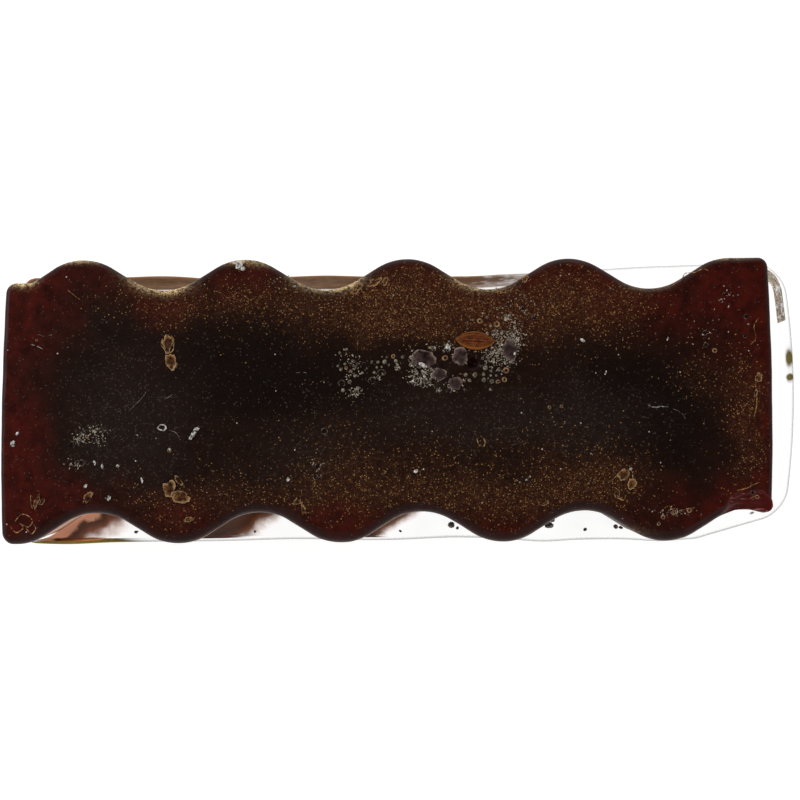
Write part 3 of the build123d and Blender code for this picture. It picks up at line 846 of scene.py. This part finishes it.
def makeSheets(name, sheets, material):
    # several ragged sheets as one piece, laid on the rubbing face
    points, faces, rims, start = [], [], [], 0
    for sheet in sheets:
        sheetPoints, sheetFaces, rim = raggedSheet(*sheet)
        points.append(sheetPoints)
        faces += [[start + i for i in face] for face in sheetFaces]
        rims.append(rim)
        start += len(sheetPoints)
    points = np.concatenate(points)
    lift = faceZ + faceRelief(points[:, 0], points[:, 1])
    points = points + np.column_stack([np.full(len(points), cakeMidX), 0 * lift, lift])
    return makePiece(name, points, faces, "cake", material, marks=dict(rim=np.concatenate(rims)))


def skinMaterial():
    material, tree, surface = newMaterial("bubbleSkin")
    place = objectPlace(tree)
    tone = cloud(tree, place, 0.5, 4.0, 0.7)
    colour = blendColour(tree, ramp(tree, tone, 0.3, 0.7), rgb(30, 19, 18), rgb(66, 51, 50))
    rim = times(tree, mark(tree, "rim"), ramp(tree, tone, 0.3, 0.6))
    colour = blendColour(tree, times(tree, rim, 0.8), colour, rgb(140, 120, 108))
    link(tree, colour, surface, "Base Color")
    solid = maths(tree, "ADD", ramp(tree, tone, 0.3, 0.7, 0.45, 0.85), times(tree, rim, 0.3), True)
    link(tree, solid, surface, "Alpha")
    surface.inputs["Roughness"].default_value = 0.3
    surface.inputs["Specular IOR Level"].default_value = 0.15
    return material


pinholes = dict(
    places=[  # place and radius
        (-0.57, 2.48, 0.33), (-1.46, 1.77, 0.28), (-4.19, 1.55, 0.28), (-3.1, 0.64, 0.24),
        (-5.8, -2.8, 0.26), (-3.0, 3.4, 0.18), (-6.4, -6.0, 0.24), (-6.6, -7.0, 0.20),
        (-28.7, -3.9, 0.27), (-27.1, -3.5, 0.22), (-25.7, -3.0, 0.22), (-27.9, -5.6, 0.26),
        (29.0, 6.0, 0.22), (29.1, 4.9, 0.20), (32.8, 7.5, 0.20), (32.7, 5.7, 0.16), (13.4, 7.5, 0.20),
        (12.0, 2.0, 0.12), (12.4, 8.3, 0.2), (33.2, -8.6, 0.18), (-2.2, 3.3, 0.14),
    ],
    depth=0.5,
)


def makePinholes(material):
    # open bubbles: a cup's profile of radius and height turned round each one's own axis
    profile = np.array([[1.20, -0.10], [1.18, 0.05], [1.08, 0.09], [0.96, 0.06], [0.80, 0.04], [0.4, 0.03],
                        [0.02, 0.03], [0.02, -0.2], [0.6, -0.2], [1.0, -0.18]])
    cols = 18
    a = np.linspace(0, 2 * math.pi, cols, endpoint=False)
    x = profile[:, 0][:, None] * np.cos(a)
    y = profile[:, 0][:, None] * np.sin(a)
    bowl = np.stack([x, y, profile[:, 1][:, None] + 0 * a], -1).reshape(-1, 3)
    quads = gridQuads(len(profile), cols, True, True)
    spots = np.array(pinholes["places"])
    rng = np.random.default_rng(61)
    size = spots[:, 2]
    sizes = np.column_stack([size, size * rng.uniform(0.8, 1.0, len(size)), size * pinholes["depth"] * 2])
    places = onFace(spots[:, :2], 0.012)
    points, faces = scatter(bowl, quads, places, sizes, rng.uniform(0, 3, len(spots)))
    lip = np.repeat([0.5, 1, 1, 0.4, 0, 0, 0, 0, 0, 0], cols)
    marks = dict(lip=np.tile(lip, len(spots)))
    makePiece("pinholes", points, faces.tolist(), "cake", material, marks=marks)


def pinholeMaterial():
    material, tree, surface = newMaterial("pinhole")
    tone = cloud(tree, objectPlace(tree), 0.3, 2.0, 0.6)
    # painted shade: the inside of each hole is near black
    colour = blendColour(tree, ramp(tree, tone, 0.3, 0.7), rgb(7, 2, 2), rgb(18, 4, 3))
    lip = times(tree, mark(tree, "lip"), ramp(tree, tone, 0.4, 0.65))
    link(tree, blendColour(tree, lip, colour, rgb(112, 92, 82)), surface, "Base Color")
    surface.inputs["Roughness"].default_value = 0.45
    surface.inputs["Specular IOR Level"].default_value = 0.15
    return material


crystals = dict(
    places=[  # place, length, width, turn
        (-17.75, -3.05, 1.15, 0.42, 58.0), (-17.45, -2.6, 0.55, 0.35, 20.0),
        (-17.95, -3.4, 0.3, 0.3, 0.0), (-22.4, -7.2, 0.60, 0.22, 105.0), (-25.4, -8.8, 0.50, 0.36, 70.0),
        (-9.1, -7.2, 0.48, 0.32, 60.0), (2.5, -6.5, 0.46, 0.34, 20.0), (17.8, 5.4, 0.50, 0.30, -30.0),
        (-19.9, -4.4, 0.32, 0.24, 0.0), (-34.1, -3.8, 0.60, 0.52, 88.0), (-33.7, -2.9, 0.38, 0.26, 60.0),
        (-27.5, -7.7, 0.45, 0.30, 45.0), (-24.6, -5.9, 0.30, 0.26, 10.0),
        (-26.0, -5.9, 0.42, 0.24, 100.0), (19.9, 2.4, 0.46, 0.14, 70.0), (19.0, 2.4, 0.2, 0.12, 80.0),
        (3.2, 3.18, 0.85, 0.42, -24.0), (2.6, 2.4, 0.5, 0.2, 30.0), (3.4, 2.0, 0.6, 0.18, -50.0),
        (2.2, 1.7, 0.45, 0.18, 15.0), (3.0, 1.5, 0.5, 0.16, 70.0), (5.45, 4.85, 0.5, 0.42, 15.0),
        (5.65, 4.6, 0.3, 0.2, 80.0), (3.8, 1.35, 0.24, 0.18, 0.0), (-13.55, 12.4, 0.9, 0.8, 70.0),
        (-13.2, 12.1, 0.5, 0.4, 20.0), (-13.9, 12.65, 0.4, 0.25, 0.0), (-26.7, -5.6, 0.45, 0.2, 100.0),
        (33.1, -10.45, 0.55, 0.26, 12.0), (-8.5, 10.45, 0.3, 0.2, 10.0), (11.6, 4.2, 0.3, 0.2, 60.0),
        (10.4, 5.0, 0.26, 0.2, 20.0), (25.6, 5.5, 0.38, 0.16, 70.0), (22.1, -6.4, 0.34, 0.24, 50.0),
        (33.0, 6.8, 0.24, 0.18, 0.0),
    ],
    height=0.28,
)


def makeCrystals(material):
    # uneven grains, each stretched to its own length and width
    spots = np.array(crystals["places"])
    sizes = np.column_stack([spots[:, 2] / 2, spots[:, 3] / 2, spots[:, 3] * crystals["height"]])
    lift = crystals["height"] * 0.2
    points, faces = scatterGrains(7, 4, 71, onFace(spots[:, :2], lift), sizes, np.radians(spots[:, 4]), 0.22)
    piece = makePiece("clearCrumbs", points, faces, "cake", material, smooth=False)
    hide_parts("clear_crumbs")


def crystalMaterial():
    material, tree, surface = newMaterial("clearGrain")
    tone = cloud(tree, objectPlace(tree), 0.22, 3.0, 0.7)
    colour = blendColour(tree, ramp(tree, tone, 0.38, 0.62), rgb(84, 82, 76), rgb(200, 196, 188))
    link(tree, colour, surface, "Base Color")
    link(tree, ramp(tree, tone, 0.34, 0.56, 0.45, 1.0), surface, "Alpha")
    surface.inputs["Roughness"].default_value = 0.2
    return material


ringCrystal = [(  # a clear grain shaped like a ring: route and thickness
    [
        (-20.95, -2.42), (-20.7, -2.15), (-20.35, -2.2), (-20.2, -2.42), (-20.4, -2.65), (-20.75, -2.66),
        (-20.93, -2.46),
    ],
    0.075,
)]
# slivers of dried skin: place, half length and half width, turn, arch, curl, seed, waver, thickness
flakes = [
    (-19.9, -8.05, 0.74, 0.56, 80.0, 0.03, 0.20, 1, 0.30, 0.05),
    (-18.9, -8.72, 0.86, 0.50, -12.0, 0.03, 0.16, 2, 0.26, 0.05),
    (-19.05, -7.25, 0.50, 0.22, -52.0, 0.02, 0.14, 3, 0.20, 0.05),
    (-20.05, 5.25, 0.78, 0.48, 80.0, 0.02, 0.05, 4, 0.30, 0.04),
    (-19.75, 3.6, 0.80, 0.44, 100.0, 0.02, 0.10, 5, 0.34, 0.04),
    (-27.35, -8.75, 0.58, 0.30, 50.0, 0.0, 0.20, 6, 0.45, 0.05),
    (-31.95, -9.1, 0.62, 0.20, 68.0, 0.0, 0.26, 7, 0.35, 0.05),
    (-31.45, -9.1, 0.34, 0.16, 60.0, 0.0, 0.10, 8, 0.40, 0.05),
    (-18.15, -10.85, 0.42, 0.15, 12.0, 0.06, 0.08, 9, 0.30, 0.05),
    (-8.3, -9.3, 0.42, 0.17, 15.0, 0.0, 0.12, 10, 0.40, 0.05),
    (-7.75, -9.95, 0.40, 0.16, -65.0, 0.0, 0.12, 11, 0.40, 0.05),
    (21.5, -6.9, 0.56, 0.46, 30.0, 0.02, 0.16, 12, 0.35, 0.05),
    (22.2, -7.8, 0.50, 0.36, 70.0, 0.02, 0.14, 13, 0.35, 0.05),
    (20.95, -8.6, 0.48, 0.16, 100.0, 0.0, 0.14, 14, 0.40, 0.05),
    (-1.15, 10.75, 0.62, 0.34, 25.0, 0.05, 0.18, 15, 0.40, 0.06),
    (-2.6, 10.35, 0.42, 0.24, 50.0, 0.02, 0.14, 16, 0.45, 0.05),
    (-0.2, 10.9, 0.40, 0.22, 60.0, 0.02, 0.10, 17, 0.45, 0.05),
    (-3.0, 9.9, 0.34, 0.20, 0.0, 0.02, 0.12, 18, 0.45, 0.05),
    (33.9, 1.9, 0.46, 0.28, 80.0, 0.04, 0.12, 19, 0.40, 0.05),
    (33.6, 0.5, 0.38, 0.13, 75.0, 0.0, 0.10, 20, 0.40, 0.05),
    (12.6, 11.05, 0.36, 0.22, 55.0, 0.02, 0.12, 21, 0.45, 0.05),
    (10.6, 9.9, 0.30, 0.16, 20.0, 0.02, 0.10, 22, 0.45, 0.05),
    (14.3, -9.5, 0.30, 0.14, 30.0, 0.0, 0.10, 23, 0.45, 0.05),
]
curlRims = [  # thin curled rims standing on the face: routes and thickness
    ([(-33.9, -10.9), (-33.4, -10.3), (-32.7, -10.35), (-32.3, -10.9), (-32.7, -11.4), (-33.2, -11.2)], 0.05),
    ([(-34.3, -11.3), (-33.8, -11.9), (-33.2, -11.5), (-33.5, -11.0)], 0.045),
    ([(-32.9, -11.5), (-32.4, -12.0), (-32.0, -11.5), (-32.3, -11.1)], 0.045),
    ([(8.1, -3.5), (8.15, -3.95), (8.4, -4.25), (8.75, -4.2), (8.8, -3.75), (8.6, -3.4), (8.4, -3.35)], 0.06),
    ([(20.3, -7.5), (20.8, -7.0), (21.4, -6.5), (22.2, -6.6), (22.3, -7.3)], 0.05),
    ([(20.7, -8.2), (20.7, -8.9), (21.4, -9.2), (21.6, -8.8)], 0.06),
    ([(-32.45, -8.5), (-32.5, -9.1), (-32.3, -9.7)], 0.06),
    ([(-18.6, -10.95), (-18.3, -10.6), (-17.9, -10.65), (-17.7, -10.85)], 0.06),
    ([(-8.7, -9.3), (-8.3, -9.0), (-7.9, -9.4), (-7.6, -9.9), (-7.5, -10.3)], 0.05),
    ([(-20.4, 6.0), (-20.6, 5.2), (-20.2, 4.5), (-19.6, 4.6), (-19.5, 5.6), (-19.9, 6.1)], 0.04),
    ([(-20.1, 4.1), (-20.2, 3.4), (-19.7, 2.9), (-19.2, 3.2), (-19.3, 3.9)], 0.05),
]


def flakeMaterial():
    material, tree, surface = newMaterial("amberFlake")
    tone = cloud(tree, objectPlace(tree), 0.5, 4.0, 0.7)
    colour = blendColour(tree, ramp(tree, tone, 0.34, 0.68), rgb(38, 20, 13), rgb(98, 60, 30))
    rim = times(tree, mark(tree, "rim"), ramp(tree, tone, 0.25, 0.6))
    link(tree, blendColour(tree, rim, colour, rgb(166, 132, 88)), surface, "Base Color")
    link(tree, maths(tree, "ADD", ramp(tree, tone, 0.35, 0.62, 0.2, 0.9), rim, True), surface, "Alpha")
    surface.inputs["Roughness"].default_value = 0.35
    surface.inputs["Specular IOR Level"].default_value = 0.35
    return material


cracks = [  # golden cracks on the face: routes and thickness
    ([(26.1, 10.4), (26.9, 10.9), (27.3, 11.5), (28.2, 11.6), (28.9, 11.9), (29.4, 11.7)], 0.05),
    ([(34.0, 7.4), (33.5, 6.6), (33.7, 5.6), (33.2, 4.9)], 0.045),
    ([(34.1, 2.4), (33.6, 1.2), (33.7, -0.4), (33.4, -1.8)], 0.05),
    ([(-29.2, 10.2), (-28.4, 9.6), (-28.0, 9.3)], 0.03),
    ([(33.9, -7.6), (32.9, -8.1), (31.8, -8.4)], 0.045),
    ([(33.0, -9.1), (33.6, -8.9), (34.1, -9.2)], 0.04),
    ([(12.9, 11.4), (12.0, 10.9), (11.2, 10.0), (10.2, 9.9), (9.4, 9.6)], 0.045),
    ([(-3.4, 9.7), (-2.6, 10.2), (-1.9, 9.7), (-1.2, 10.1), (-0.3, 9.9)], 0.05),
    ([(-15.3, 9.9), (-14.4, 9.4), (-13.6, 9.9), (-12.6, 9.2), (-12.0, 9.5)], 0.035),
    ([(24.9, -10.2), (25.5, -9.8), (26.2, -10.3), (27.1, -10.1), (28.0, -9.9)], 0.035),
]
hairs = [  # lint and scratches: routes and thickness
    ([(23.7, -0.55), (24.3, -0.78), (24.9, -0.70), (25.6, -0.72)], 0.055),
    ([(-20.0, -2.7), (-19.3, -2.9), (-18.9, -3.6)], 0.018),
    ([(-23.6, -0.9), (-22.4, 0.3), (-22.0, 0.9)], 0.014),
    ([(-20.4, 0.1), (-19.6, 0.6)], 0.014),
    ([(-32.5, 5.3), (-31.9, 5.0), (-31.4, 4.8)], 0.024),
    ([(-31.9, 6.1), (-31.2, 6.0), (-30.6, 6.1)], 0.020),
    ([(-8.4, 2.55), (-7.4, 2.5)], 0.016),
    ([(26.0, -0.9), (26.8, -1.3), (27.2, -1.9)], 0.012),
]


def routeTube(route, thickness, seed):
    # a round section carried along a smooth route; it thins to nothing at both ends
    knots = np.array(route, float)
    t = np.linspace(0, len(knots) - 1, 10 * len(knots))
    k = np.clip(t.astype(int), 0, len(knots) - 2)
    f = t - k
    before, after = knots[np.maximum(k - 1, 0)], knots[np.minimum(k + 2, len(knots) - 1)]
    a, b = knots[k], knots[k + 1]
    tangentA, tangentB = (b - before) / 2, (after - a) / 2
    f = f[:, None]
    line = (2 * f**3 - 3 * f**2 + 1) * a + (f**3 - 2 * f**2 + f) * tangentA
    line = line + (3 * f**2 - 2 * f**3) * b + (f**3 - f**2) * tangentB
    line = line + 0.05 * smoothNoise(line[:, 0], line[:, 1], 0.3, seed)[:, None]
    step = np.gradient(line, axis=0)
    side = np.stack([-step[:, 1], step[:, 0]], -1) / np.linalg.norm(step, axis=1)[:, None]
    thick = thickness * np.sin(np.linspace(0.05, 0.95, len(line)) * math.pi) ** 0.4
    thick = thick * (1 + 0.4 * smoothNoise(np.arange(len(line)), 0 * thick, 3.0, seed + 1))
    around = np.linspace(0, 2 * math.pi, 8, endpoint=False)
    plan = line[:, None] + side[:, None] * (thick[:, None] * np.cos(around))[..., None]
    z = thick[:, None] * (0.4 + np.sin(around) * 0.8)
    points = np.concatenate([plan, z[..., None]], -1).reshape(-1, 3)
    quads = gridQuads(len(line), 8, False, True).tolist()
    return points, quads + [list(range(8))[::-1], [len(points) - 8 + n for n in range(8)]]


def makeRoutes(name, routes, material, seed):
    # several tubes as one piece, laid on the rubbing face
    allPoints, allFaces = [], []
    for number, (route, thickness) in enumerate(routes):
        points, faces = routeTube(route, thickness, seed + number)
        start = sum(len(p) for p in allPoints)
        allFaces += [[i + start for i in face][::-1] for face in faces]
        allPoints.append(points)
    points = np.concatenate(allPoints)
    lift = faceZ + faceRelief(points[:, 0], points[:, 1])
    points = points + np.column_stack([np.full(len(points), cakeMidX), 0 * points[:, 0], lift])
    return makePiece(name, points, allFaces, "cake", material)


tray = dict(
    wall=0.3, height=5.0, lean=3.0, halfLength=36.907, halfWidth=12.477,
    tuckLength=9.5, tuckDepth=2.4, splay=1.4, splayLength=30.0, bow=1.0,
    snugRadius=0.977, cornerRadius=2.8, footRadius=0.7, spacing=0.4,
)
# where the thin film stands off its straight line: place along X, reach, distance outwards
frontWavers = [
    (-33.0, 3.5, 0.20), (-11.0, 5.0, -0.18), (4.5, 4.5, -0.26), (12.8, 2.5, 0.20), (24.0, 2.4, 0.22),
]
backWavers = [
    (-24.0, 3.0, 0.14), (-18.0, 2.5, -0.20), (-8.0, 3.0, 0.14), (9.0, 3.0, 0.08), (22.0, 4.0, 0.10),
]


def roundedLoop(corners):
    # a closed line through corners given as x, y and radius, each one swapped for an arc, evenly spaced
    spots = np.array(corners)
    line = []
    for k in range(len(spots)):
        here, radius = spots[k, :2], spots[k, 2]
        before, after = spots[k - 1, :2] - here, spots[(k + 1) % len(spots), :2] - here
        before, after = before / np.linalg.norm(before), after / np.linalg.norm(after)
        half = math.acos(float(np.clip(before @ after, -1, 1))) / 2
        middle = here + (before + after) / np.linalg.norm(before + after) * (radius / math.sin(half))
        start, end = here + before * radius / math.tan(half), here + after * radius / math.tan(half)
        t = np.linspace(0, 1, 15)[:, None]
        arc = start - middle + (end - start) * t
        line.append(middle + arc / np.linalg.norm(arc, axis=1)[:, None] * radius)
    line = np.concatenate(line)
    line = np.concatenate([line, line[:1]])
    far = np.concatenate([[0], np.cumsum(np.linalg.norm(np.diff(line, axis=0), axis=1))])
    t = np.linspace(0, far[-1], int(far[-1] / tray["spacing"]), endpoint=False)
    return np.column_stack([np.interp(t, far, line[:, 0]), np.interp(t, far, line[:, 1])])


def makeTray(material):
    # the film's cross-section is carried round the tray's outline: foot, leaning wall, round lip, inside
    hl, hw, end = tray["halfLength"], tray["halfWidth"], tray["halfLength"] - tray["bow"]
    loop = roundedLoop([
        (-hl, -hw, tray["snugRadius"]), (hl - tray["tuckLength"], -hw, tray["cornerRadius"]),
        (end, tray["tuckDepth"] - hw, tray["cornerRadius"]), (end, hw + tray["splay"], tray["cornerRadius"]),
        (hl - tray["splayLength"], hw, tray["cornerRadius"]), (-hl, hw, tray["snugRadius"]),
    ])
    x, y = loop.T
    middle = (tray["tuckDepth"] + tray["splay"]) / 2
    across = np.clip((y - middle) / (hw - 0.5), -1, 1)
    loop = np.column_stack([x + tray["bow"] * (1 - across**2) * np.clip((x - end + 3) / 3, 0, 1), y])
    ahead, behind = np.roll(loop, -1, 0), np.roll(loop, 1, 0)
    along = (ahead - behind) / np.linalg.norm(ahead - behind, axis=1)[:, None]
    outward = np.stack([along[:, 1], -along[:, 0]], -1)
    x, y = loop.T
    stand = np.zeros(len(loop))
    for px, reach, far in frontWavers:
        stand += far * np.exp(-(((x - px) / reach) ** 2)) * np.clip(-outward[:, 1], 0, 1)
    for px, reach, far in backWavers:
        stand += far * np.exp(-(((x - px) / reach) ** 2)) * np.clip(outward[:, 1], 0, 1)

    slope = math.tan(math.radians(tray["lean"]))
    r, w, h = tray["footRadius"], tray["wall"], tray["height"]
    turns = np.linspace(0, math.pi / 2, 6)
    profile = [(-r + r * math.sin(a), r - r * math.cos(a), 0.0, 0.0) for a in turns]
    profile += [(0, z, 0.0, 0.0) for z in (1.4, 2.3, 3.2, 4.0, 4.6)] + [(0, h - w / 2, 0.6, 0.0)]
    lips = ((0.4, 1.0), (0.9, 1.0), (1.57, 0.5), (2.3, 0.0), (2.8, 0.0))
    for a, lip in lips:
        profile.append((-w / 2 + w / 2 * math.cos(a), h - w / 2 + w / 2 * math.sin(a), lip, a / 2.8))
    profile += [(-w, z, 0.0, 1.0) for z in (h - w / 2, 4.4, 3.6, 2.8, 2.0, 1.3)]
    inner = r - w
    profile += [(-w - inner + inner * math.cos(a), r - inner * math.sin(a), 0.0, 1.0) for a in turns]
    rings, rim, inside = [], [], []
    for offset, z, lip, within in profile:
        push = offset + z * slope + stand * (z / h) ** 1.5
        rings.append(np.column_stack([loop + outward * push[:, None], np.full(len(loop), z)]))
        rim.append(np.full(len(loop), lip))
        inside.append(np.full(len(loop), within))
    points = np.concatenate(rings)
    faces = gridQuads(len(profile), len(loop), False, True).tolist()
    faces += [list(range(len(loop)))[::-1], [len(points) - len(loop) + n for n in range(len(loop))]]
    # brown up the back wall, fading to the right; olive dried rosin along the front rim at the left
    # and in two spots on the right-hand wall
    px, py, pz = points.T
    high = np.clip((pz - 0.3) / 0.15, 0, 1) * (0.75 + 0.25 * np.clip(pz / 4, 0, 1))
    inner = np.concatenate(inside)
    back = np.clip((py - 10) / 1.5, 0, 1) * (1.15 - np.clip((px + 4) / 20, 0, 1.15)) * high * inner
    upper = np.clip((pz - 2.5) / 1.5, 0, 1)
    front = np.exp(-(((px + 31.5) / 4.2) ** 2)) * np.clip(-py - 11, 0, 1) * upper
    right = np.exp(-(((py - 4.7) / 0.8) ** 2)) * 0.8 + np.exp(-(((py - 2.8) / 0.3) ** 2))
    right = right * np.clip(px - 35.6, 0, 1) * upper * inner
    olive = np.clip(front + right, 0, 1)
    marks = dict(rim=np.concatenate(rim), backBrown=np.clip(back, 0, 1), olive=olive, inside=inner)
    piece = makePiece("linerFilm", points, faces, "tray", material, marks=marks)
    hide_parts("liner_tray")
    print("tray:", len(points), "points")


# painted shadow and light on the film's floor: the cake's shadow and the amber light that comes through the
# cake
tint = dict(  # the amber light that comes through the cake
    left=-28.7, right=15.7, wide=6.8, narrow=2.3,  # its width narrows from left to right
    fadeFrom=17.0, fadeTo=21.0,  # where it gives out along the tray
    frontFrom=-8.5, frontTo=-8.0,  # it lies only in front of the cake
    paleFrom=-23.0, paleTo=-20.0,  # where its palest part gives out
)


def linerMaterial():
    # thin clear film: nearly gone, greyer along its lip, brown up its back wall, olive where rosin has dried
    # on it, and painted shadow and amber light on its floor in front of the cake
    material, tree, surface = newMaterial("clearFilm")
    place = objectPlace(tree)
    haze = cloud(tree, place, 6.0, 3.0, 0.55)
    fine = cloud(tree, place, 0.9, 4.0, 0.65)
    rim, backBrown, olive = mark(tree, "rim"), mark(tree, "backBrown"), mark(tree, "olive")
    colour = blendColour(tree, ramp(tree, rim, 0.0, 1.0), (0.93, 0.93, 0.925, 1), rgb(150, 148, 142))
    # where the brown is thin it lets the floor's white through, so it is given a stronger colour than where
    # it is thick
    backBrownShare = times(tree, backBrown, ramp(tree, fine, 0.25, 0.65, 0.7, 1.1), True)
    colour = blendColour(tree, ramp(tree, backBrownShare, 0.05, 0.25), colour, rgb(122, 86, 58))
    brown = blendColour(tree, fine, rgb(84, 58, 38), rgb(124, 96, 72))
    colour = blendColour(tree, ramp(tree, backBrownShare, 0.3, 0.9), colour, brown)
    oliveTint = blendColour(tree, fine, rgb(84, 74, 26), rgb(128, 114, 60))
    colour = blendColour(tree, ramp(tree, olive, 0.05, 0.4), colour, oliveTint)

    # painted shadow and amber light beside each left-hand flank of the front side: how far to its right, in
    # widths
    parts = put(tree, "SeparateXYZ", {0: place})
    alongX, alongY = parts.outputs[0], parts.outputs[1]
    flank = math.radians(cake["flankAngle"])
    rise = math.tan(flank)
    inset = cake["height"] * math.tan(math.radians(cake["draft"])) / math.sin(flank)
    firstCrest = cakeMidX - cake["length"] / 2 + cake["firstCrest"] + cake["frontLag"]
    start = (firstCrest - cake["pitch"] / 4 - inset + cake["width"] / 2 / rise) * mm
    along = maths(tree, "SUBTRACT", alongX, times(tree, alongY, 1 / rise))
    along = maths(tree, "SUBTRACT", along, start)
    along = put(tree, "Math", {0: along, 1: cake["pitch"] * mm, 2: 0.0}, operation="WRAP").outputs[0]
    width = ramp(tree, alongX, tint["left"] * mm, tint["right"] * mm, tint["wide"] * mm, tint["narrow"] * mm)
    share = put(tree, "Math", {0: along, 1: width}, operation="DIVIDE").outputs[0]
    share = maths(tree, "ADD", share, ramp(tree, cloud(tree, place, 2.2, 3.0, 0.55), 0.25, 0.75, -0.12, 0.12))
    near = maths(tree, "SUBTRACT", 1.0, share, True)
    near = times(tree, near, ramp(tree, alongX, tint["fadeFrom"] * mm, tint["fadeTo"] * mm, 1.0, 0.0))
    inFront = ramp(tree, alongY, tint["frontFrom"] * mm, tint["frontTo"] * mm, 1.0, 0.0)
    near = times(tree, near, inFront)
    near = times(tree, near, ramp(tree, mark(tree, "inside"), 0.9, 1.0))
    # painted colours: pale amber light away from the flank, darkening to a brown shadow towards it
    colour = blendColour(tree, ramp(tree, near, 0.02, 0.10), colour, rgb(196, 130, 84))
    colour = blendColour(tree, ramp(tree, near, 0.12, 0.45), colour, rgb(134, 82, 52))
    colour = blendColour(tree, ramp(tree, near, 0.40, 0.70), colour, rgb(76, 40, 18))
    # painted peach light right beside the flank, on the left-hand hollows only
    leftOnly = ramp(tree, alongX, tint["paleFrom"] * mm, tint["paleTo"] * mm, 1.0, 0.0)
    paintedPeachLight = times(tree, ramp(tree, near, 0.72, 0.84), leftOnly)
    colour = blendColour(tree, paintedPeachLight, colour, rgb(190, 140, 110))
    link(tree, colour, surface, "Base Color")
    # painted glow: the brown and olive parts of the wall and the painted amber light on the floor glow as if
    # daylight behind them came through
    brownAndOlive = maths(tree, "MAXIMUM", backBrownShare, olive)
    paintedGlow = maths(tree, "MAXIMUM", brownAndOlive, times(tree, near, 0.7))
    link(tree, blendColour(tree, paintedGlow, (0, 0, 0, 1), colour), surface, "Emission Color")
    surface.inputs["Emission Strength"].default_value = 0.42

    solid = maths(tree, "ADD", ramp(tree, haze, 0.4, 0.8, 0.01, 0.04), times(tree, rim, 0.6))
    solid = maths(tree, "ADD", solid, ramp(tree, brownAndOlive, 0.0, 0.55, 0.0, 0.97), True)
    solid = maths(tree, "ADD", solid, ramp(tree, near, 0.0, 0.5, 0.0, 0.97), True)
    link(tree, solid, surface, "Alpha")
    surface.inputs["Roughness"].default_value = 0.3
    surface.inputs["IOR"].default_value = 1.45
    surface.inputs["Specular IOR Level"].default_value = 0.0
    return material


darkCrumbs = [  # place along the cake from its middle, distance from the wall's foot, size
    (-24.5, 0.32, 0.36), (-12.9, 0.30, 0.26), (1.3, 0.28, 0.30), (6.3, 0.85, 0.62), (6.9, 0.55, 0.36),
    (7.0, 1.1, 0.24), (15.9, 0.75, 0.78), (16.2, 1.3, 0.56), (19.4, 0.34, 0.36), (22.4, 0.60, 0.52),
    (22.9, 0.5, 0.36),
]


def makeDarkCrumbs(material):
    # uneven grains lying on the tray's floor, between the cake and the foot of the front wall
    rng = np.random.default_rng(101)
    spots = np.array(darkCrumbs)
    size = spots[:, 2]
    y = -tray["halfWidth"] + tray["wall"] + 0.1 + spots[:, 1]
    places = np.column_stack([spots[:, 0] + cakeMidX, y, tray["wall"] + size * 0.42])
    lengths, widths = size * rng.uniform(0.4, 0.6, len(size)), size * rng.uniform(0.35, 0.5, len(size))
    sizes = np.column_stack([lengths, widths, size * 0.42])
    points, faces = scatterGrains(9, 6, 103, places, sizes, rng.uniform(0, 3.14, len(size)), 0.25)
    piece = makePiece("darkCrumbs", points, faces, "tray", material, smooth=False)
    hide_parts("tray_crumbs")


def crumbMaterial():
    material, tree, surface = newMaterial("darkCrumb")
    tone = cloud(tree, objectPlace(tree), 0.3, 3.0, 0.6)
    colour = blendColour(tree, ramp(tree, tone, 0.3, 0.7), rgb(34, 26, 24), rgb(92, 76, 68))
    link(tree, colour, surface, "Base Color")
    surface.inputs["Roughness"].default_value = 0.35
    return material


def residueMaterial():
    material, tree, surface = newMaterial("driedSmear")
    tone = cloud(tree, objectPlace(tree), 0.8, 4.0, 0.65)
    colour = blendColour(tree, ramp(tree, tone, 0.3, 0.7), rgb(104, 84, 54), rgb(164, 142, 106))
    link(tree, colour, surface, "Base Color")
    link(tree, ramp(tree, tone, 0.36, 0.6, 0.15, 0.9), surface, "Alpha")
    surface.inputs["Roughness"].default_value = 0.6
    return material


makeCamera()
makeStage()
print("camera, light and floor made")

makeCake(rosinMaterial())
makeHusk(huskMaterial())
makeFroth(
    paleMaterial("bubbleDome", rgb(62, 54, 44), rgb(132, 124, 106), 0.25, 0.85),
    paleMaterial("rimGlaze", rgb(84, 58, 36), rgb(136, 106, 74), 0.3),
    paleMaterial("driedFroth", rgb(74, 64, 54), rgb(158, 148, 132), 0.35),
)
blisters = [(x, y, rx, ry, 0.0, 0.10, 0.03, 30 + n, 0.16, 0.03) for n, (x, y, rx, ry) in enumerate(skins)]
makeSheets("bubbleSkins", blisters, skinMaterial())
makePinholes(pinholeMaterial())
makeCrystals(crystalMaterial())
ringGlass = paleMaterial("ringGlass", rgb(110, 106, 100), rgb(190, 186, 180), 0.25)
makeRoutes("ringCrystal", ringCrystal, ringGlass, 141)
amber = makeSheets("amberFlakes", flakes, flakeMaterial())
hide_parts("amber_flakes")
curlTone = paleMaterial("curledRim", rgb(74, 50, 28), rgb(158, 124, 80), 0.35, broken=True)
makeRoutes("curledRims", curlRims, curlTone, 151)
crackTone = paleMaterial("goldCrack", rgb(70, 38, 18), rgb(150, 104, 56), 0.35, broken=True)
makeRoutes("goldCracks", cracks, crackTone, 111)
lintTone = paleMaterial("paleLint", rgb(88, 82, 78), rgb(150, 144, 138), 0.6, broken=True)
makeRoutes("lintHairs", hairs, lintTone, 131)
print("bits on the face made")

makeTray(linerMaterial())
makeDarkCrumbs(crumbMaterial())
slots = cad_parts["wall_residue"].data.materials
slots.clear()
slots.append(residueMaterial())
print("tray made")
